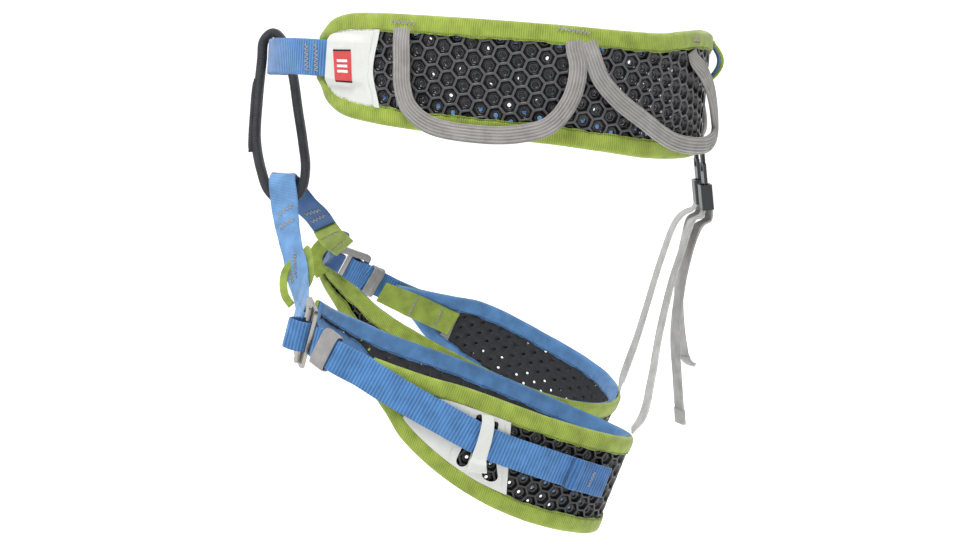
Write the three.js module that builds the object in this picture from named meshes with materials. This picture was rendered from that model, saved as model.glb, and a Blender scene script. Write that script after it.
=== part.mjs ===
import * as THREE from 'three';

// A climbing harness: a padded waist belt, two padded leg loops hung from a belay loop and a
// webbing bridge, and two elastic straps that hold the leg loops up at the back.
// Millimetres, +Z up. The wearer stands at the origin facing -Y, with the left side at +X.

// ---------------------------------------------------------------- driving dimensions

const CLEAR = 0.3;                 // gap between pieces that touch
const FOAM_THICK = 4;              // foam core of every pad
const TAPE_THICK = 1.2;            // binding tape on a pad's faces
const TAPE_WIDE = 12.5;            // binding tape, edge to seam
const PATCH_THICK = 0.8;           // plain cloth sewn over the foam
const PAD_STEP = 8;                // degrees between a pad's sections
const FOAM_INSET = 2.5;            // the foam stops this far inside the bound edge
const SKIN = FOAM_THICK / 2 + CLEAR;              // where a tape's inner face lies
const TAPE_OUT = SKIN + TAPE_THICK / 2;           // the tape's middle
const PATCH_OUT = SKIN + PATCH_THICK / 2;
const OVER_TAPE = SKIN + TAPE_THICK + CLEAR;      // first free level above a tape

const WAIST_RING = { centre: [0, -5.5, 1], length: 321, width: 236, egg: 0.25, pitch: -4.5 };
const WAIST_END = 134;             // degrees from the back to each front end of the belt
const WAIST_END_BAND = 2.6;        // degrees of tape across that end
const WAIST_TOP = [[0, 46], [20, 49], [30, 47.5], [45, 43.5], [75, 43.5], [105, 43],
  [120, 42], [126, 40], [130, 36], [132, 30.5], [134, 24]];
const WAIST_BOTTOM = [[0, -36], [20, -38.5], [30, -40], [45, -40], [60, -37], [75, -34.5],
  [105, -33], [120, -30], [126, -26.5], [130, -19.5], [132, -11], [134, -5]];

const WAIST_WEBBING = { wide: 25, thick: 2.4 };
const LEG_WEBBING = { wide: 21, thick: 1.3 };
const BRIDGE = { wide: 22, narrow: 19, thick: 2.2 };
const BELAY = { wide: 15, thick: 6 };
const GEAR_LOOP = { wide: 12, thick: 5 };
const ELASTIC = { wide: 15, thick: 1.4 };

const LEGS = {
  left: {
    side: 1,
    ring: { centre: [92, -13, -198.7], length: 236, width: 128, egg: -0.1, pitch: -21, roll: -1 },
    top: [[-170, 11], [-160, 8], [-150, 5], [-135, 2], [-120, -1], [-90, -1], [-60, -1.5],
      [-30, 0], [0, 2], [60, 2.5], [90, 3.5], [105, 1], [124, -1]],
    buckle: { turn: 155, swing: 20, twist: 11, post: 9 },
    keeper: { turn: 140, out: 6.5, swing: 3, long: 13 },
    leaves: 126,
    strapHeight: [[30, -29.5], [44, -28.2], [61, -27], [75, -26.3], [84, -24.5], [94, -21],
      [107, -17], [122, -12.6], [138, -8.4], [156, -4.6]],
  },
  right: {
    side: -1,
    ring: {
      centre: [-92, -14.7, -194.2], length: 257, width: 143, egg: 0.37, pitch: -23.8, roll: 6.6,
      yaw: -6,
    },
    top: [[-170, 0], [-150, 3], [-135, 3], [-120, -1], [-90, -0.5], [0, 0.5], [60, -1.5],
      [90, 2], [105, -3], [120, -7], [124, -8]],
    buckle: { turn: 147, swing: 4, twist: 0, post: 5.5 },
    keeper: { turn: 133.3, out: 2.4, swing: 5, long: 11 },
    leaves: 123,
    strapHeight: [[30, -30], [60, -29], [83, -26], [103, -21], [117, -17.5], [135, -13],
      [147, -9]],
  },
};
const LEG_BOTTOM = [[-170, -8], [-160, -11], [-150, -16], [-135, -25], [-120, -38],
  [-105, -50], [-90, -58], [-60, -67], [-30, -69], [45, -70], [60, -69], [75, -65], [90, -57],
  [105, -44], [114, -31], [120, -24], [124, -21.5]];
const LEG_OUTER_END = 124;         // the pad's front end on the outside of the thigh
const LEG_INNER_END = -168;        // and on the inside
const LEG_END_BAND = 3;
const LEG_STRAP_SEWN = 112;        // where the leg strap is sewn to the pad
const LEG_STRAP_TIP = 28;          // where its tail ends
const KEEPER_TRAVEL = 4;           // how far a keeper slides away from its buckle

// ---------------------------------------------------------------- geometry helpers

const vec = (x, y, z) => new THREE.Vector3(x, y, z);
const { degToRad, clamp, lerp } = THREE.MathUtils;

// A smooth curve through [place, value] pairs.
function smooth(table) {
  const slope = (i) => {
    const a = table[Math.max(i - 1, 0)];
    const b = table[Math.min(i + 1, table.length - 1)];
    return (b[1] - a[1]) / (b[0] - a[0]);
  };
  return (place) => {
    const x = clamp(place, table[0][0], table[table.length - 1][0]);
    let i = 0;
    while (i < table.length - 2 && x > table[i + 1][0]) i += 1;
    const span = table[i + 1][0] - table[i][0];
    const u = (x - table[i][0]) / span;
    const v = 1 - u;
    return table[i][1] * v * v * (1 + 2 * u) + slope(i) * span * u * v * v
      + table[i + 1][1] * u * u * (3 - 2 * u) - slope(i + 1) * span * u * u * v;
  };
}

// An egg-shaped ring that a band lies along. A place on it is a turn in degrees from the back
// (positive over the outer side), a height along the ring's axis and a distance outwards.
class Ring {
  constructor({ centre, length, width, egg, pitch, roll = 0, yaw = 0 }, side = 1) {
    this.half = [width / 2, length / 2];
    this.egg = egg;
    this.side = side;
    this.matrix = new THREE.Matrix4().makeRotationZ(degToRad(yaw))
      .multiply(new THREE.Matrix4().makeRotationX(degToRad(pitch)))
      .multiply(new THREE.Matrix4().makeRotationY(degToRad(roll)));
    this.centre = vec(...centre);
    this.up = vec(0, 0, 1).transformDirection(this.matrix);
  }

  slope(turn) {
    const t = degToRad(turn);
    const dx = this.half[0] * (Math.cos(t) * (1 + this.egg * Math.cos(t))
      - this.egg * Math.sin(t) ** 2);
    return vec(this.side * dx, -this.half[1] * Math.sin(t), 0).normalize();
  }

  tangent(turn) {
    return this.slope(turn).transformDirection(this.matrix);
  }

  normal(turn) {
    const s = this.slope(turn);
    return vec(-s.y, s.x, 0).multiplyScalar(this.side).transformDirection(this.matrix);
  }

  point(turn, height = 0, out = 0) {
    const t = degToRad(turn);
    const x = this.side * this.half[0] * Math.sin(t) * (1 + this.egg * Math.cos(t));
    const y = this.half[1] * Math.cos(t);
    return vec(x, y, 0).applyMatrix4(this.matrix).add(this.centre)
      .addScaledVector(this.up, height).addScaledVector(this.normal(turn), out);
  }
}

function steps(from, to, count) {
  return Array.from({ length: count + 1 }, (_, i) => lerp(from, to, i / count));
}

// Puts new points in a geometry and turns its faces outwards.
function reshape(geometry, place) {
  const position = geometry.attributes.position;
  for (let i = 0; i < position.count; i += 1) {
    const p = place(i, vec().fromBufferAttribute(position, i));
    position.setXYZ(i, p.x, p.y, p.z);
  }
  return facingOut(geometry);
}

function facingOut(geometry) {
  const position = geometry.attributes.position;
  const index = geometry.index.array;
  const at = (i) => vec().fromBufferAttribute(position, index[i]);
  const middle = at(0);
  let volume = 0;
  for (let i = 0; i < index.length; i += 3) {
    const [a, b, c] = [0, 1, 2].map((k) => at(i + k).sub(middle));
    volume += a.dot(b.cross(c));
  }
  if (volume < 0) {
    for (let i = 0; i < index.length; i += 3) {
      [index[i], index[i + 1]] = [index[i + 1], index[i]];
    }
  }
  geometry.computeVertexNormals();
  return geometry;
}

// A flat strip through sections of four corners each, taken in order round the section.
// An open strip is a bent box and a closed one is a reshaped four-sided torus.
function strip(sections, closed = false) {
  const count = sections.length;
  if (closed) {
    const torus = new THREE.TorusGeometry(2, 1, 4, count);
    return reshape(torus, (i) => {
      const corner = Math.floor(i / (count + 1)) % 4;
      return sections[(i % (count + 1)) % count][corner];
    });
  }
  const box = new THREE.BoxGeometry(1, 1, 1, count - 1, 1, 1);
  return reshape(box, (i, p) => {
    const station = Math.round((p.x + 0.5) * (count - 1));
    const corner = p.z > 0 ? (p.y > 0 ? 0 : 1) : (p.y > 0 ? 3 : 2);
    return sections[station][corner];
  });
}

// The part of a ring's surface between two turns and two heights, as a strip.
function band(ring, turns, top, bottom, out, thick) {
  return strip(turns.map((turn) => [
    ring.point(turn, top(turn), out + thick / 2),
    ring.point(turn, bottom(turn), out + thick / 2),
    ring.point(turn, bottom(turn), out - thick / 2),
    ring.point(turn, top(turn), out - thick / 2),
  ]));
}

// The turns at which every piece of a pad has a section, so that its layers stay parallel.
function padTurns(from, to) {
  return steps(from, to, Math.round(Math.abs(to - from) / PAD_STEP));
}

// A binding tape that runs all the way round a pad's edge, on one of its faces.
function binding(ring, turns, endBand, top, bottom, out) {
  const [from, to] = [turns[0], turns[turns.length - 1]];
  const half = TAPE_THICK / 2;
  const section = (turn, edge, sign) => {
    const t = clamp(turn, from + endBand, to - endBand);
    const middle = (top(t) + bottom(t)) / 2;
    const tall = top(t) - bottom(t);
    const seam = middle + sign * Math.max(tall / 2 - TAPE_WIDE, 1);
    return [
      ring.point(turn, edge(turn), out + half),
      ring.point(turn, edge(turn), out - half),
      ring.point(t, seam, out - half),
      ring.point(t, seam, out + half),
    ];
  };
  return strip([
    ...turns.map((turn) => section(turn, top, 1)),
    ...turns.toReversed().map((turn) => section(turn, bottom, -1)),
  ], true);
}

// A webbing strip along stations of a point and the direction of its width.
function webbing(stations, wide, thick, closed = false) {
  const count = stations.length;
  const near = (i) => (closed ? (i + count) % count : clamp(i, 0, count - 1));
  return strip(stations.map(({ point, across }, i) => {
    const along = stations[near(i + 1)].point.clone().sub(stations[near(i - 1)].point);
    const face = along.normalize().clone().cross(across).normalize();
    const width = face.clone().cross(along).normalize()
      .multiplyScalar((stations[i].wide ?? wide) / 2);
    const depth = face.multiplyScalar(thick / 2);
    return [
      point.clone().add(width).add(depth),
      point.clone().sub(width).add(depth),
      point.clone().sub(width).sub(depth),
      point.clone().add(width).sub(depth),
    ];
  }), closed);
}

// Stations at even steps along a smooth line through knots of { point, across, wide }.
function route(knots, count, closed = false) {
  const line = new THREE.CatmullRomCurve3(knots.map((k) => k.point), closed, 'centripetal');
  const parts = closed ? knots.length : knots.length - 1;
  return steps(0, 1, count).slice(0, closed ? count : count + 1).map((u) => {
    const place = Math.min(u * parts, parts - 1e-9);
    const i = Math.floor(place);
    const next = knots[(i + 1) % knots.length];
    const blend = place - i;
    return {
      point: line.getPoint(u),
      across: knots[i].across.clone().lerp(next.across, blend).normalize(),
      wide: lerp(knots[i].wide ?? 0, next.wide ?? 0, blend) || undefined,
    };
  });
}

// A flat-sided plate: a shape in the (x, y) plane, depth thick along z, in a local frame.
function plate(shape, depth, frame, z) {
  const geometry = new THREE.ExtrudeGeometry(shape, {
    depth, bevelEnabled: false, curveSegments: 4,
  });
  geometry.translate(0, 0, z).applyMatrix4(frame);
  return indexed(geometry);
}

function indexed(geometry) {
  geometry.setIndex([...Array(geometry.attributes.position.count).keys()]);
  return facingOut(geometry);
}

function rounded(target, x0, y0, x1, y1, r) {
  target.moveTo(x0 + r, y0);
  target.lineTo(x1 - r, y0);
  target.absarc(x1 - r, y0 + r, r, -Math.PI / 2, 0, false);
  target.lineTo(x1, y1 - r);
  target.absarc(x1 - r, y1 - r, r, 0, Math.PI / 2, false);
  target.lineTo(x0 + r, y1);
  target.absarc(x0 + r, y1 - r, r, Math.PI / 2, Math.PI, false);
  target.lineTo(x0, y0 + r);
  target.absarc(x0 + r, y0 + r, r, Math.PI, 1.5 * Math.PI, false);
  return target;
}

// ---------------------------------------------------------------- materials and the tree

const colours = {
  green: [0x96c03c, 0.85, 0],
  blue: [0x5a96d2, 0.8, 0],
  foam: [0x17181b, 0.5, 0],
  patch: [0xdadbd5, 0.8, 0],
  label: [0xd24f50, 0.7, 0],
  cord: [0xa5a09b, 0.7, 0],
  black: [0x1b1b1e, 0.8, 0],
  steel: [0xb9babd, 0.3, 1],
  plastic: [0x202124, 0.45, 0],
  elastic: [0xbdbdbd, 0.85, 0],
};
const materials = Object.fromEntries(Object.entries(colours).map(
  ([name, [color, roughness, metalness]]) => [
    name, new THREE.MeshStandardMaterial({ name, color, roughness, metalness }),
  ],
));

const harness = new THREE.Group();
harness.name = 'climbing_harness';

function add(name, geometry, material) {
  const mesh = new THREE.Mesh(geometry, materials[material]);
  mesh.name = name;
  harness.add(mesh);
}

// ---------------------------------------------------------------- buckles

// A strap buckle's local frame: x along the strap towards the pad, y up, z outwards.
const BUCKLE = { long: 31, deep: 2.5, lift: 4, bar: 4.2, slide: 6.4 };

// heightAt gives the strap's height along the ring, so that the frame follows its slope, swing
// turns the frame's front end inwards and twist turns it about the strap. On a right-hand strap
// the frame is left-handed.
function strapFrame(ring, turn, heightAt, out, swing = 0, twist = 0) {
  const pad = turn > 0 ? -1 : 1;
  const toPad = ring.point(turn + pad, heightAt(turn + pad), out)
    .sub(ring.point(turn - pad, heightAt(turn - pad), out)).normalize();
  toPad.addScaledVector(ring.normal(turn), Math.tan(degToRad(swing))).normalize();
  const up = ring.normal(turn).cross(toPad).normalize().applyAxisAngle(toPad, degToRad(twist));
  const outward = toPad.clone().cross(up);
  if (up.dot(ring.up) < 0) up.negate();
  return new THREE.Matrix4().makeBasis(toPad, up, outward)
    .setPosition(ring.point(turn, heightAt(turn), out));
}

// post is how far the frame reaches past the strap's edges.
function addBuckle(prefix, frame, strapWide, post) {
  const { long, deep, lift, bar, slide } = BUCKLE;
  const tall = strapWide + 3 + 2 * post;
  const half = long / 2;
  const shape = rounded(new THREE.Shape(), -half, -tall / 2, half, tall / 2, 4);
  const slot = strapWide / 2 + 1.5;
  shape.holes.push(
    rounded(new THREE.Path(), -half + bar, -slot, -half + bar + 6, slot, 1),
    rounded(new THREE.Path(), -half + bar + 9, -slot, half - bar, slot, 1),
  );
  add(`${prefix}_buckle_frame`, plate(shape, deep, frame, lift), 'steel');
  const bar2 = rounded(new THREE.Shape(), 1.9, -tall / 2 + 1, 1.9 + slide, tall / 2 - 1, 1.5);
  add(`${prefix}_buckle_slider`, plate(bar2, 2.2, frame, lift + deep + 0.6), 'steel');
}

// Where the sewn webbing goes round the buckle's front bar.
function sewnEnd(frame, tail) {
  const spots = [[-34, 2.2], [-24, 2.2], [-13.4, 2.2], [-9.6, 3], [-8.2, 5.3], [-9.6, 7.6],
    [-13, 8.3], [-18, 8.3], [-tail, 8]];
  return spots.map(([x, z]) => knot(frame, x, 0, z));
}

// Where the strap turns round the slider and comes back as a loose tail.
function strapTurn(frame) {
  const spots = [[15, 1], [6, 1], [1.2, 2], [0, 5], [0, 9], [1.6, 12.2], [5, 13.4],
    [9.2, 12.2], [10.2, 8.8], [10.2, 6.3], [10.2, 4.4], [11.2, 3], [15.5, 2.7]];
  return spots.map(([x, z]) => knot(frame, x, 0, z));
}

function knot(frame, x, y, z) {
  return {
    point: vec(x, y, z).applyMatrix4(frame),
    across: vec(0, 1, 0).transformDirection(frame),
  };
}

// An elastic sleeve round both layers of a strap.
function addKeeper(name, frame, strapWide, long) {
  const inner = strapWide / 2 + 0.9;
  const shape = rounded(new THREE.Shape(), -1.9, -inner - 1.2, 6.1, inner + 1.2, 1.4);
  shape.holes.push(rounded(new THREE.Path(), -0.7, -inner, 4.9, inner, 0.6));
  const sleeve = new THREE.Matrix4().makeBasis(vec(0, 0, 1), vec(0, 1, 0), vec(-1, 0, 0));
  const turned = frame.clone().multiply(sleeve);
  add(name, plate(shape, long, turned, -long / 2), 'elastic');
}

// ---------------------------------------------------------------- waist belt

function addPad(prefix, ring, from, to, endBand, top, bottom) {
  const turns = padTurns(from, to);
  const core = turns.map((t) => clamp(t, from + 1, to - 1));
  add(`${prefix}_foam`, band(ring, core, (t) => top(t) - FOAM_INSET,
    (t) => bottom(t) + FOAM_INSET, 0, FOAM_THICK), 'foam');
  add(`${prefix}_binding_outer`, binding(ring, turns, endBand, top, bottom, TAPE_OUT), 'green');
  add(`${prefix}_binding_inner`, binding(ring, turns, endBand, top, bottom, -TAPE_OUT), 'blue');
  return turns;
}

// The pad's sections from one turn to another, so that a patch follows its facets.
function between(turns, from, to) {
  return [from, ...turns.filter((t) => t > from + 1 && t < to - 1), to];
}

const waistRing = new Ring(WAIST_RING);
const waistTop = (turn) => smooth(WAIST_TOP)(Math.abs(turn));
const waistBottom = (turn) => smooth(WAIST_BOTTOM)(Math.abs(turn));
const webbingHeight = smooth([[112, 9.5], [134, 9.5], [150, 8.5], [180, 6.1]]);

function addWaistPatches(turns) {
  const seam = (t) => TAPE_WIDE + (Math.abs(t) > 124 ? 2.4 : 0.6);
  const top = (t) => waistTop(t) - seam(t);
  const bottom = (t) => waistBottom(t) + seam(t);
  const left = between(turns, 115.5, 130.8);
  const right = between(turns, -130.8, -115.5);
  add('waist_end_patch_left', band(waistRing, left, top, bottom, PATCH_OUT, PATCH_THICK),
    'patch');
  add('waist_end_patch_right', band(waistRing, right, top, bottom, PATCH_OUT, PATCH_THICK),
    'patch');
  const labelOut = SKIN + PATCH_THICK + CLEAR + 0.4;
  add('waist_label', band(waistRing, between(turns, 122.5, 128), () => 16.5, () => -6.5,
    labelOut, 0.6), 'label');
}

// The buckle lies over the right-hand front end of the belt, and the webbing runs straight from
// the left-hand end through the belay loop to it.
const WAIST_BUCKLE_TURN = -132;
const WAIST_KEEPER_TURN = -120.5;
const WAIST_STRAP_TURNS = [-113, -118.5, -124];
const WAIST_TAIL_TURNS = [-124, -118, -112.6];
const TIE_IN_OUT = [[131.6, 5], [140, 5], [152, 1.5], [166, -4.2], [180, -6.7], [194, -4.2],
  [208, 2.5]];
const beltHeight = (turn) => webbingHeight(Math.abs(turn));
const waistBuckle = strapFrame(waistRing, WAIST_BUCKLE_TURN, beltHeight, OVER_TAPE);

function addWaistWebbing() {
  const { wide, thick } = WAIST_WEBBING;
  const onRing = (turn, out) => ({
    point: waistRing.point(turn, beltHeight(turn), out),
    across: waistRing.up,
  });
  const inwards = smooth(TIE_IN_OUT);
  const front = [131.6, 136, 142, 150, 158, 166, 174, 182, 190, 198, 205].map(
    (t) => onRing(t, inwards(t)),
  );
  const sewn = sewnEnd(waistBuckle, 30);
  add('tie_in_webbing', webbing(route([...front, ...sewn], 70), wide, thick), 'blue');

  const start = WAIST_STRAP_TURNS.map((t) => onRing(t, 5.7));
  const tail = WAIST_TAIL_TURNS.map((t) => onRing(t, 8));
  const knots = [...start, ...strapTurn(waistBuckle), ...tail];
  add('waist_strap', webbing(route(knots, 3 * (knots.length - 1)), wide, LEG_WEBBING.thick),
    'blue');
  addBuckle('waist', waistBuckle, wide, 5.5);
  addKeeper('waist_keeper', strapFrame(waistRing, WAIST_KEEPER_TURN, beltHeight,
    OVER_TAPE + 1.5), wide, 10);
}

const GEAR_LOOPS = {
  front: [[109.4, 28.6, 6], [108.4, 12, 7.5], [107.6, -4, 9], [105.5, -17.5, 10.5],
    [100.3, -28, 11], [89, -31.5, 11], [79.8, -29, 11], [73.2, -21.7, 10.5], [68.8, -4.5, 9],
    [67.5, 16, 7.5], [68.4, 28.6, 6]],
  rear: [[64.5, 28.6, 6], [61.8, 11, 7.5], [57, -2, 9], [50.5, -13, 10.5], [40.3, -26.5, 11],
    [30, -30, 11.5], [19.5, -28, 12], [12.5, -20, 11.5], [14, -6, 10], [19.5, 10, 8.5],
    [25, 21, 7], [28.5, 28.6, 6]],
};

function addGearLoops() {
  for (const [hand, sign] of [['left', 1], ['right', -1]]) {
    for (const [place, spots] of Object.entries(GEAR_LOOPS)) {
      const knots = spots.map(([turn, height, out], i) => {
        const before = spots[Math.max(i - 1, 0)];
        const after = spots[Math.min(i + 1, spots.length - 1)];
        const way = waistRing.point(sign * after[0], after[1], after[2])
          .sub(waistRing.point(sign * before[0], before[1], before[2])).normalize();
        const fromEnd = Math.min(i, spots.length - 1 - i);
        return {
          point: waistRing.point(sign * turn, height, out),
          across: waistRing.normal(sign * turn).cross(way).normalize(),
          wide: Math.min(8 + 2.5 * fromEnd, GEAR_LOOP.wide),
        };
      });
      add(`gear_loop_${hand}_${place}`,
        webbing(route(knots, 24), GEAR_LOOP.wide, GEAR_LOOP.thick), 'cord');
    }
  }
}

function addHaulLoop() {
  const knots = [[41, 4.9], [37, 8.4], [31.5, 11.6], [26, 11.8], [20, 9], [15.5, 5]]
    .map(([height, out]) => ({
      point: waistRing.point(0, height, out), across: waistRing.tangent(0),
    }));
  add('haul_loop', webbing(route(knots, 12), 12, 1.6), 'green');
}

// ---------------------------------------------------------------- rear buckles and straps

const REAR = {
  left: {
    x: 20, buckleTop: [154, -56],
    strap: [[21, 153, -94], [25, 147, -97], [31, 143, -104], [39, 138, -116], [52, 129, -139],
      [70, 119, -173], [82, 113, -201], [93, 106, -226]],
    tail: [[21, 157.5, -97], [24, 152, -100], [28, 147, -108], [32, 142, -123],
      [34, 138, -141], [36, 134, -178], [36, 136, -210], [34, 139, -244]],
  },
  right: {
    x: -18, buckleTop: [154, -55],
    strap: [[-19, 152, -92], [-22, 146, -96], [-28, 140, -104], [-42, 131, -134],
      [-54, 123, -167], [-66, 115, -200], [-82, 106, -233]],
    tail: [[-19, 157, -95], [-17, 151, -99], [-15, 147, -112], [-14, 143, -135],
      [-14, 142, -162], [-14, 145, -192], [-14, 149, -207], [-13, 155, -210]],
  },
};
const RELEASE = { wide: 20, male: 15, prong: 8, female: 18, tilt: 6, deep: 8.4, hanger: 6 };

function addRearBuckle(hand) {
  const { x, buckleTop } = REAR[hand];
  const { wide, male, prong, female, tilt, deep, hanger } = RELEASE;
  const frame = new THREE.Matrix4().makeRotationX(degToRad(90 + tilt))
    .setPosition(x, ...buckleTop);
  const half = wide / 2 - 1;
  const body = new THREE.Shape();
  const outline = [[-half, 0], [half, 0], [half, -male], [half - 1.6, -male],
    [half - 1.6, -male - prong], [half - 4.6, -male - prong], [half - 4.6, -male],
    [4.6 - half, -male], [4.6 - half, -male - prong], [1.6 - half, -male - prong],
    [1.6 - half, -male], [-half, -male]];
  body.setFromPoints(outline.map(([a, b]) => new THREE.Vector2(a, b)));
  body.holes.push(rounded(new THREE.Path(), -6.5, -6, 6.5, -2.4, 1));
  add(`rear_buckle_male_${hand}`, plate(body, 2.4, frame, -1.2), 'plastic');

  const ring = rounded(new THREE.Shape(), -wide / 2, -deep / 2, wide / 2, deep / 2, 2);
  ring.holes.push(rounded(new THREE.Path(), -wide / 2 + 1.4, -deep / 2 + 1.4,
    wide / 2 - 1.4, deep / 2 - 1.4, 1));
  const lengthwise = new THREE.Matrix4().makeRotationX(Math.PI / 2)
    .setPosition(0, -male - 0.5, 0);
  add(`rear_buckle_female_${hand}`,
    plate(ring, female, frame.clone().multiply(lengthwise), 0), 'plastic');

  const strap = [hanger, hanger / 2, CLEAR].map((above) => ({
    point: vec(0, above, 0).applyMatrix4(frame),
    across: vec(1, 0, 0),
  }));
  add(`rear_hanger_${hand}`, webbing(strap, 13, 2), 'black');
}

function addRearStraps(hand, ring, top) {
  const { strap, tail } = REAR[hand];
  const { wide, thick } = ELASTIC;
  const knots = strap.map((p, i) => ({
    point: vec(...p), across: vec(1, 0.2 * (i / strap.length), 0).normalize(), wide,
  }));
  knots.push({ point: ring.point(0, top(0) + 3, 0), across: ring.tangent(0), wide });
  add(`rear_strap_${hand}`, webbing(route(knots, 30), wide, thick), 'elastic');
  const loose = tail.map((p) => ({ point: vec(...p), across: vec(0.9, 0.42, 0), wide: 12 }));
  add(`rear_strap_tail_${hand}`, webbing(route(loose, 22), 12, thick), 'elastic');
}

// ---------------------------------------------------------------- belay loop

const BELAY_LINE = [[-164.9, 17.5], [-168.3, -11.4], [-170.2, -40.5], [-166.8, -62.5],
  [-161.5, -77.5], [-150, -86.5], [-138.5, -79], [-134.4, -62.5], [-136, -42], [-139.2, -18.7],
  [-142.5, 6.6], [-147.3, 27.2], [-156, 37.2], [-163, 31.5]];

function addBelayLoop() {
  const knots = BELAY_LINE.map(([y, z]) => ({ point: vec(0, y, z), across: vec(1, 0, 0) }));
  add('belay_loop', webbing(route(knots, 56, true), BELAY.wide, BELAY.thick, true), 'black');
}

// ---------------------------------------------------------------- legs

// The bridge runs over the foot of the belay loop and down to both leg buckles.
const APEX = [0, -150.5, -66];
const RISERS = {
  left: [[5, -150.6, -66.4], [9.6, -150.5, -70], [11.2, -149.5, -78], [13.6, -148.4, -87],
    [19, -146.6, -97.5], [26, -144, -108], [35, -140.5, -119], [46, -136.5, -130],
    [60, -132, -143]],
  right: [[-5, -150.4, -66.4], [-9.8, -149.8, -70], [-12.5, -145.5, -78], [-17, -138.5, -88],
    [-27, -130, -98], [-40, -125, -108], [-56, -121.5, -117.4], [-72, -116.6, -125.2]],
};
const RISER_WIDE = [BRIDGE.narrow, 19.5, 21, BRIDGE.wide];
const LEFT_TAB = [26, 36];         // stations of the bridge that each tab spans
const RIGHT_TAB = [69, 76];

function riserKnots(hand, frame) {
  const down = RISERS[hand];
  const side = LEGS[hand].side;
  const last = vec(0, 1, 0).transformDirection(frame);
  const knots = down.map((p, i) => {
    const twist = clamp((i - 2) / (down.length - 2), 0, 1);
    return {
      point: vec(...p),
      across: vec(0, 1, 0.1 * side).lerp(last, twist).normalize(),
      wide: RISER_WIDE[Math.min(i, 3)],
    };
  });
  const ends = sewnEnd(frame, 29).map((k) => ({ ...k, wide: BRIDGE.wide - 1 }));
  return [...knots, ...ends.slice(1)];
}

function addBridge(frames) {
  const apex = { point: vec(...APEX), across: vec(0, 1, 0), wide: BRIDGE.narrow };
  const knots = [...riserKnots('left', frames.left).reverse(), apex,
    ...riserKnots('right', frames.right)];
  const stations = route(knots, 100);
  add('leg_bridge', webbing(stations, BRIDGE.wide, BRIDGE.thick), 'blue');
  addTab('leg_left_front_tab', stations, LEFT_TAB);
  addTab('leg_right_front_tab', stations, RIGHT_TAB);
}

// A green tape along the inner face of a riser, between two of the bridge's stations.
function addTab(name, stations, [from, to]) {
  const away = BRIDGE.thick / 2 + CLEAR + 1.7;
  const path = stations.slice(from, to).map(({ point, across }, i) => {
    const way = stations[from + i + 1].point.clone().sub(stations[from + i - 1].point);
    const face = way.cross(across).normalize();
    return { point: point.clone().addScaledVector(face, away), across };
  });
  add(name, webbing(path, 24, 1.4), 'green');
}

function addLeg(hand) {
  const { side, ring: size, top: topTable, buckle, keeper, leaves, strapHeight } = LEGS[hand];
  const ring = new Ring(size, side);
  const top = smooth(topTable);
  const bottom = smooth(LEG_BOTTOM);
  const strapLine = smooth(strapHeight);
  const prefix = `leg_${hand}`;
  const { wide, thick } = LEG_WEBBING;
  const turns = addPad(prefix, ring, LEG_INNER_END, LEG_OUTER_END, LEG_END_BAND, top, bottom);

  const seam = TAPE_WIDE + 1;
  const inTop = (t) => top(t) - seam;
  const inBottom = (t) => bottom(t) + seam;
  add(`${prefix}_patch`, band(ring, between(turns, 72, 105), inTop, inBottom, PATCH_OUT,
    PATCH_THICK), 'patch');
  add(`${prefix}_lining_strip`, band(ring, between(turns, 97.5, 101), inTop, inBottom,
    -PATCH_OUT, PATCH_THICK), 'cord');
  add(`${prefix}_inner_tab`, band(ring, [...turns.filter((t) => t > 103), 129],
    (t) => strapLine(t) + 9, (t) => strapLine(t) - 12, -OVER_TAPE - 0.8, 1.6), 'green');

  const frame = strapFrame(ring, buckle.turn, strapLine, OVER_TAPE, buckle.swing, buckle.twist);
  const onRing = (turn, out) => ({
    point: ring.point(turn, strapLine(turn), out), across: ring.up,
  });
  const sleeve = strapFrame(ring, keeper.turn, strapLine, OVER_TAPE + keeper.out, keeper.swing);
  const start = steps(LEG_STRAP_SEWN, leaves, 3).map((t) => onRing(t, 4.8));
  const tail = steps(leaves, LEG_STRAP_TIP, 13)
    .map((t) => onRing(t, lerp(5.6, 7.1, clamp((t - 90) / 25, 0, 1))));
  const inside = (x, z) => knot(sleeve, x, 0, z);
  const front = 1 - keeper.long / 2;
  const back = keeper.long / 2 + KEEPER_TRAVEL;
  const knots = [...start, inside(back, 1), inside(front, 1), ...strapTurn(frame),
    inside(front, 2.8), inside(back, 2.8), ...tail];
  add(`${prefix}_strap`, webbing(route(knots, 3 * (knots.length - 1)), wide, thick), 'blue');
  addBuckle(prefix, frame, wide, buckle.post);
  addKeeper(`${prefix}_keeper`, sleeve, wide, keeper.long);

  const guide = [[-3, 4.3], [-7, 4.5], [-10.5, 8.4], [-23, 8.9], [-37, 8.4], [-40.5, 4.5],
    [-47, 4.3]].map(([height, out]) => ({
    point: ring.point(78.6, height - 1.5, out), across: ring.tangent(78.6),
  }));
  add(`${prefix}_strap_guide`, webbing(route(guide, 14), 5.5, 0.9), 'patch');
  return { ring, top, frame };
}

addWaistPatches(
  addPad('waist', waistRing, -WAIST_END, WAIST_END, WAIST_END_BAND, waistTop, waistBottom),
);
addWaistWebbing();
addGearLoops();
addHaulLoop();
addBelayLoop();
const legs = { left: addLeg('left'), right: addLeg('right') };
addBridge({ left: legs.left.frame, right: legs.right.frame });
for (const hand of ['left', 'right']) {
  addRearBuckle(hand);
  addRearStraps(hand, legs[hand].ring, legs[hand].top);
}

export default harness;
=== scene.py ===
import math

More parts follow.
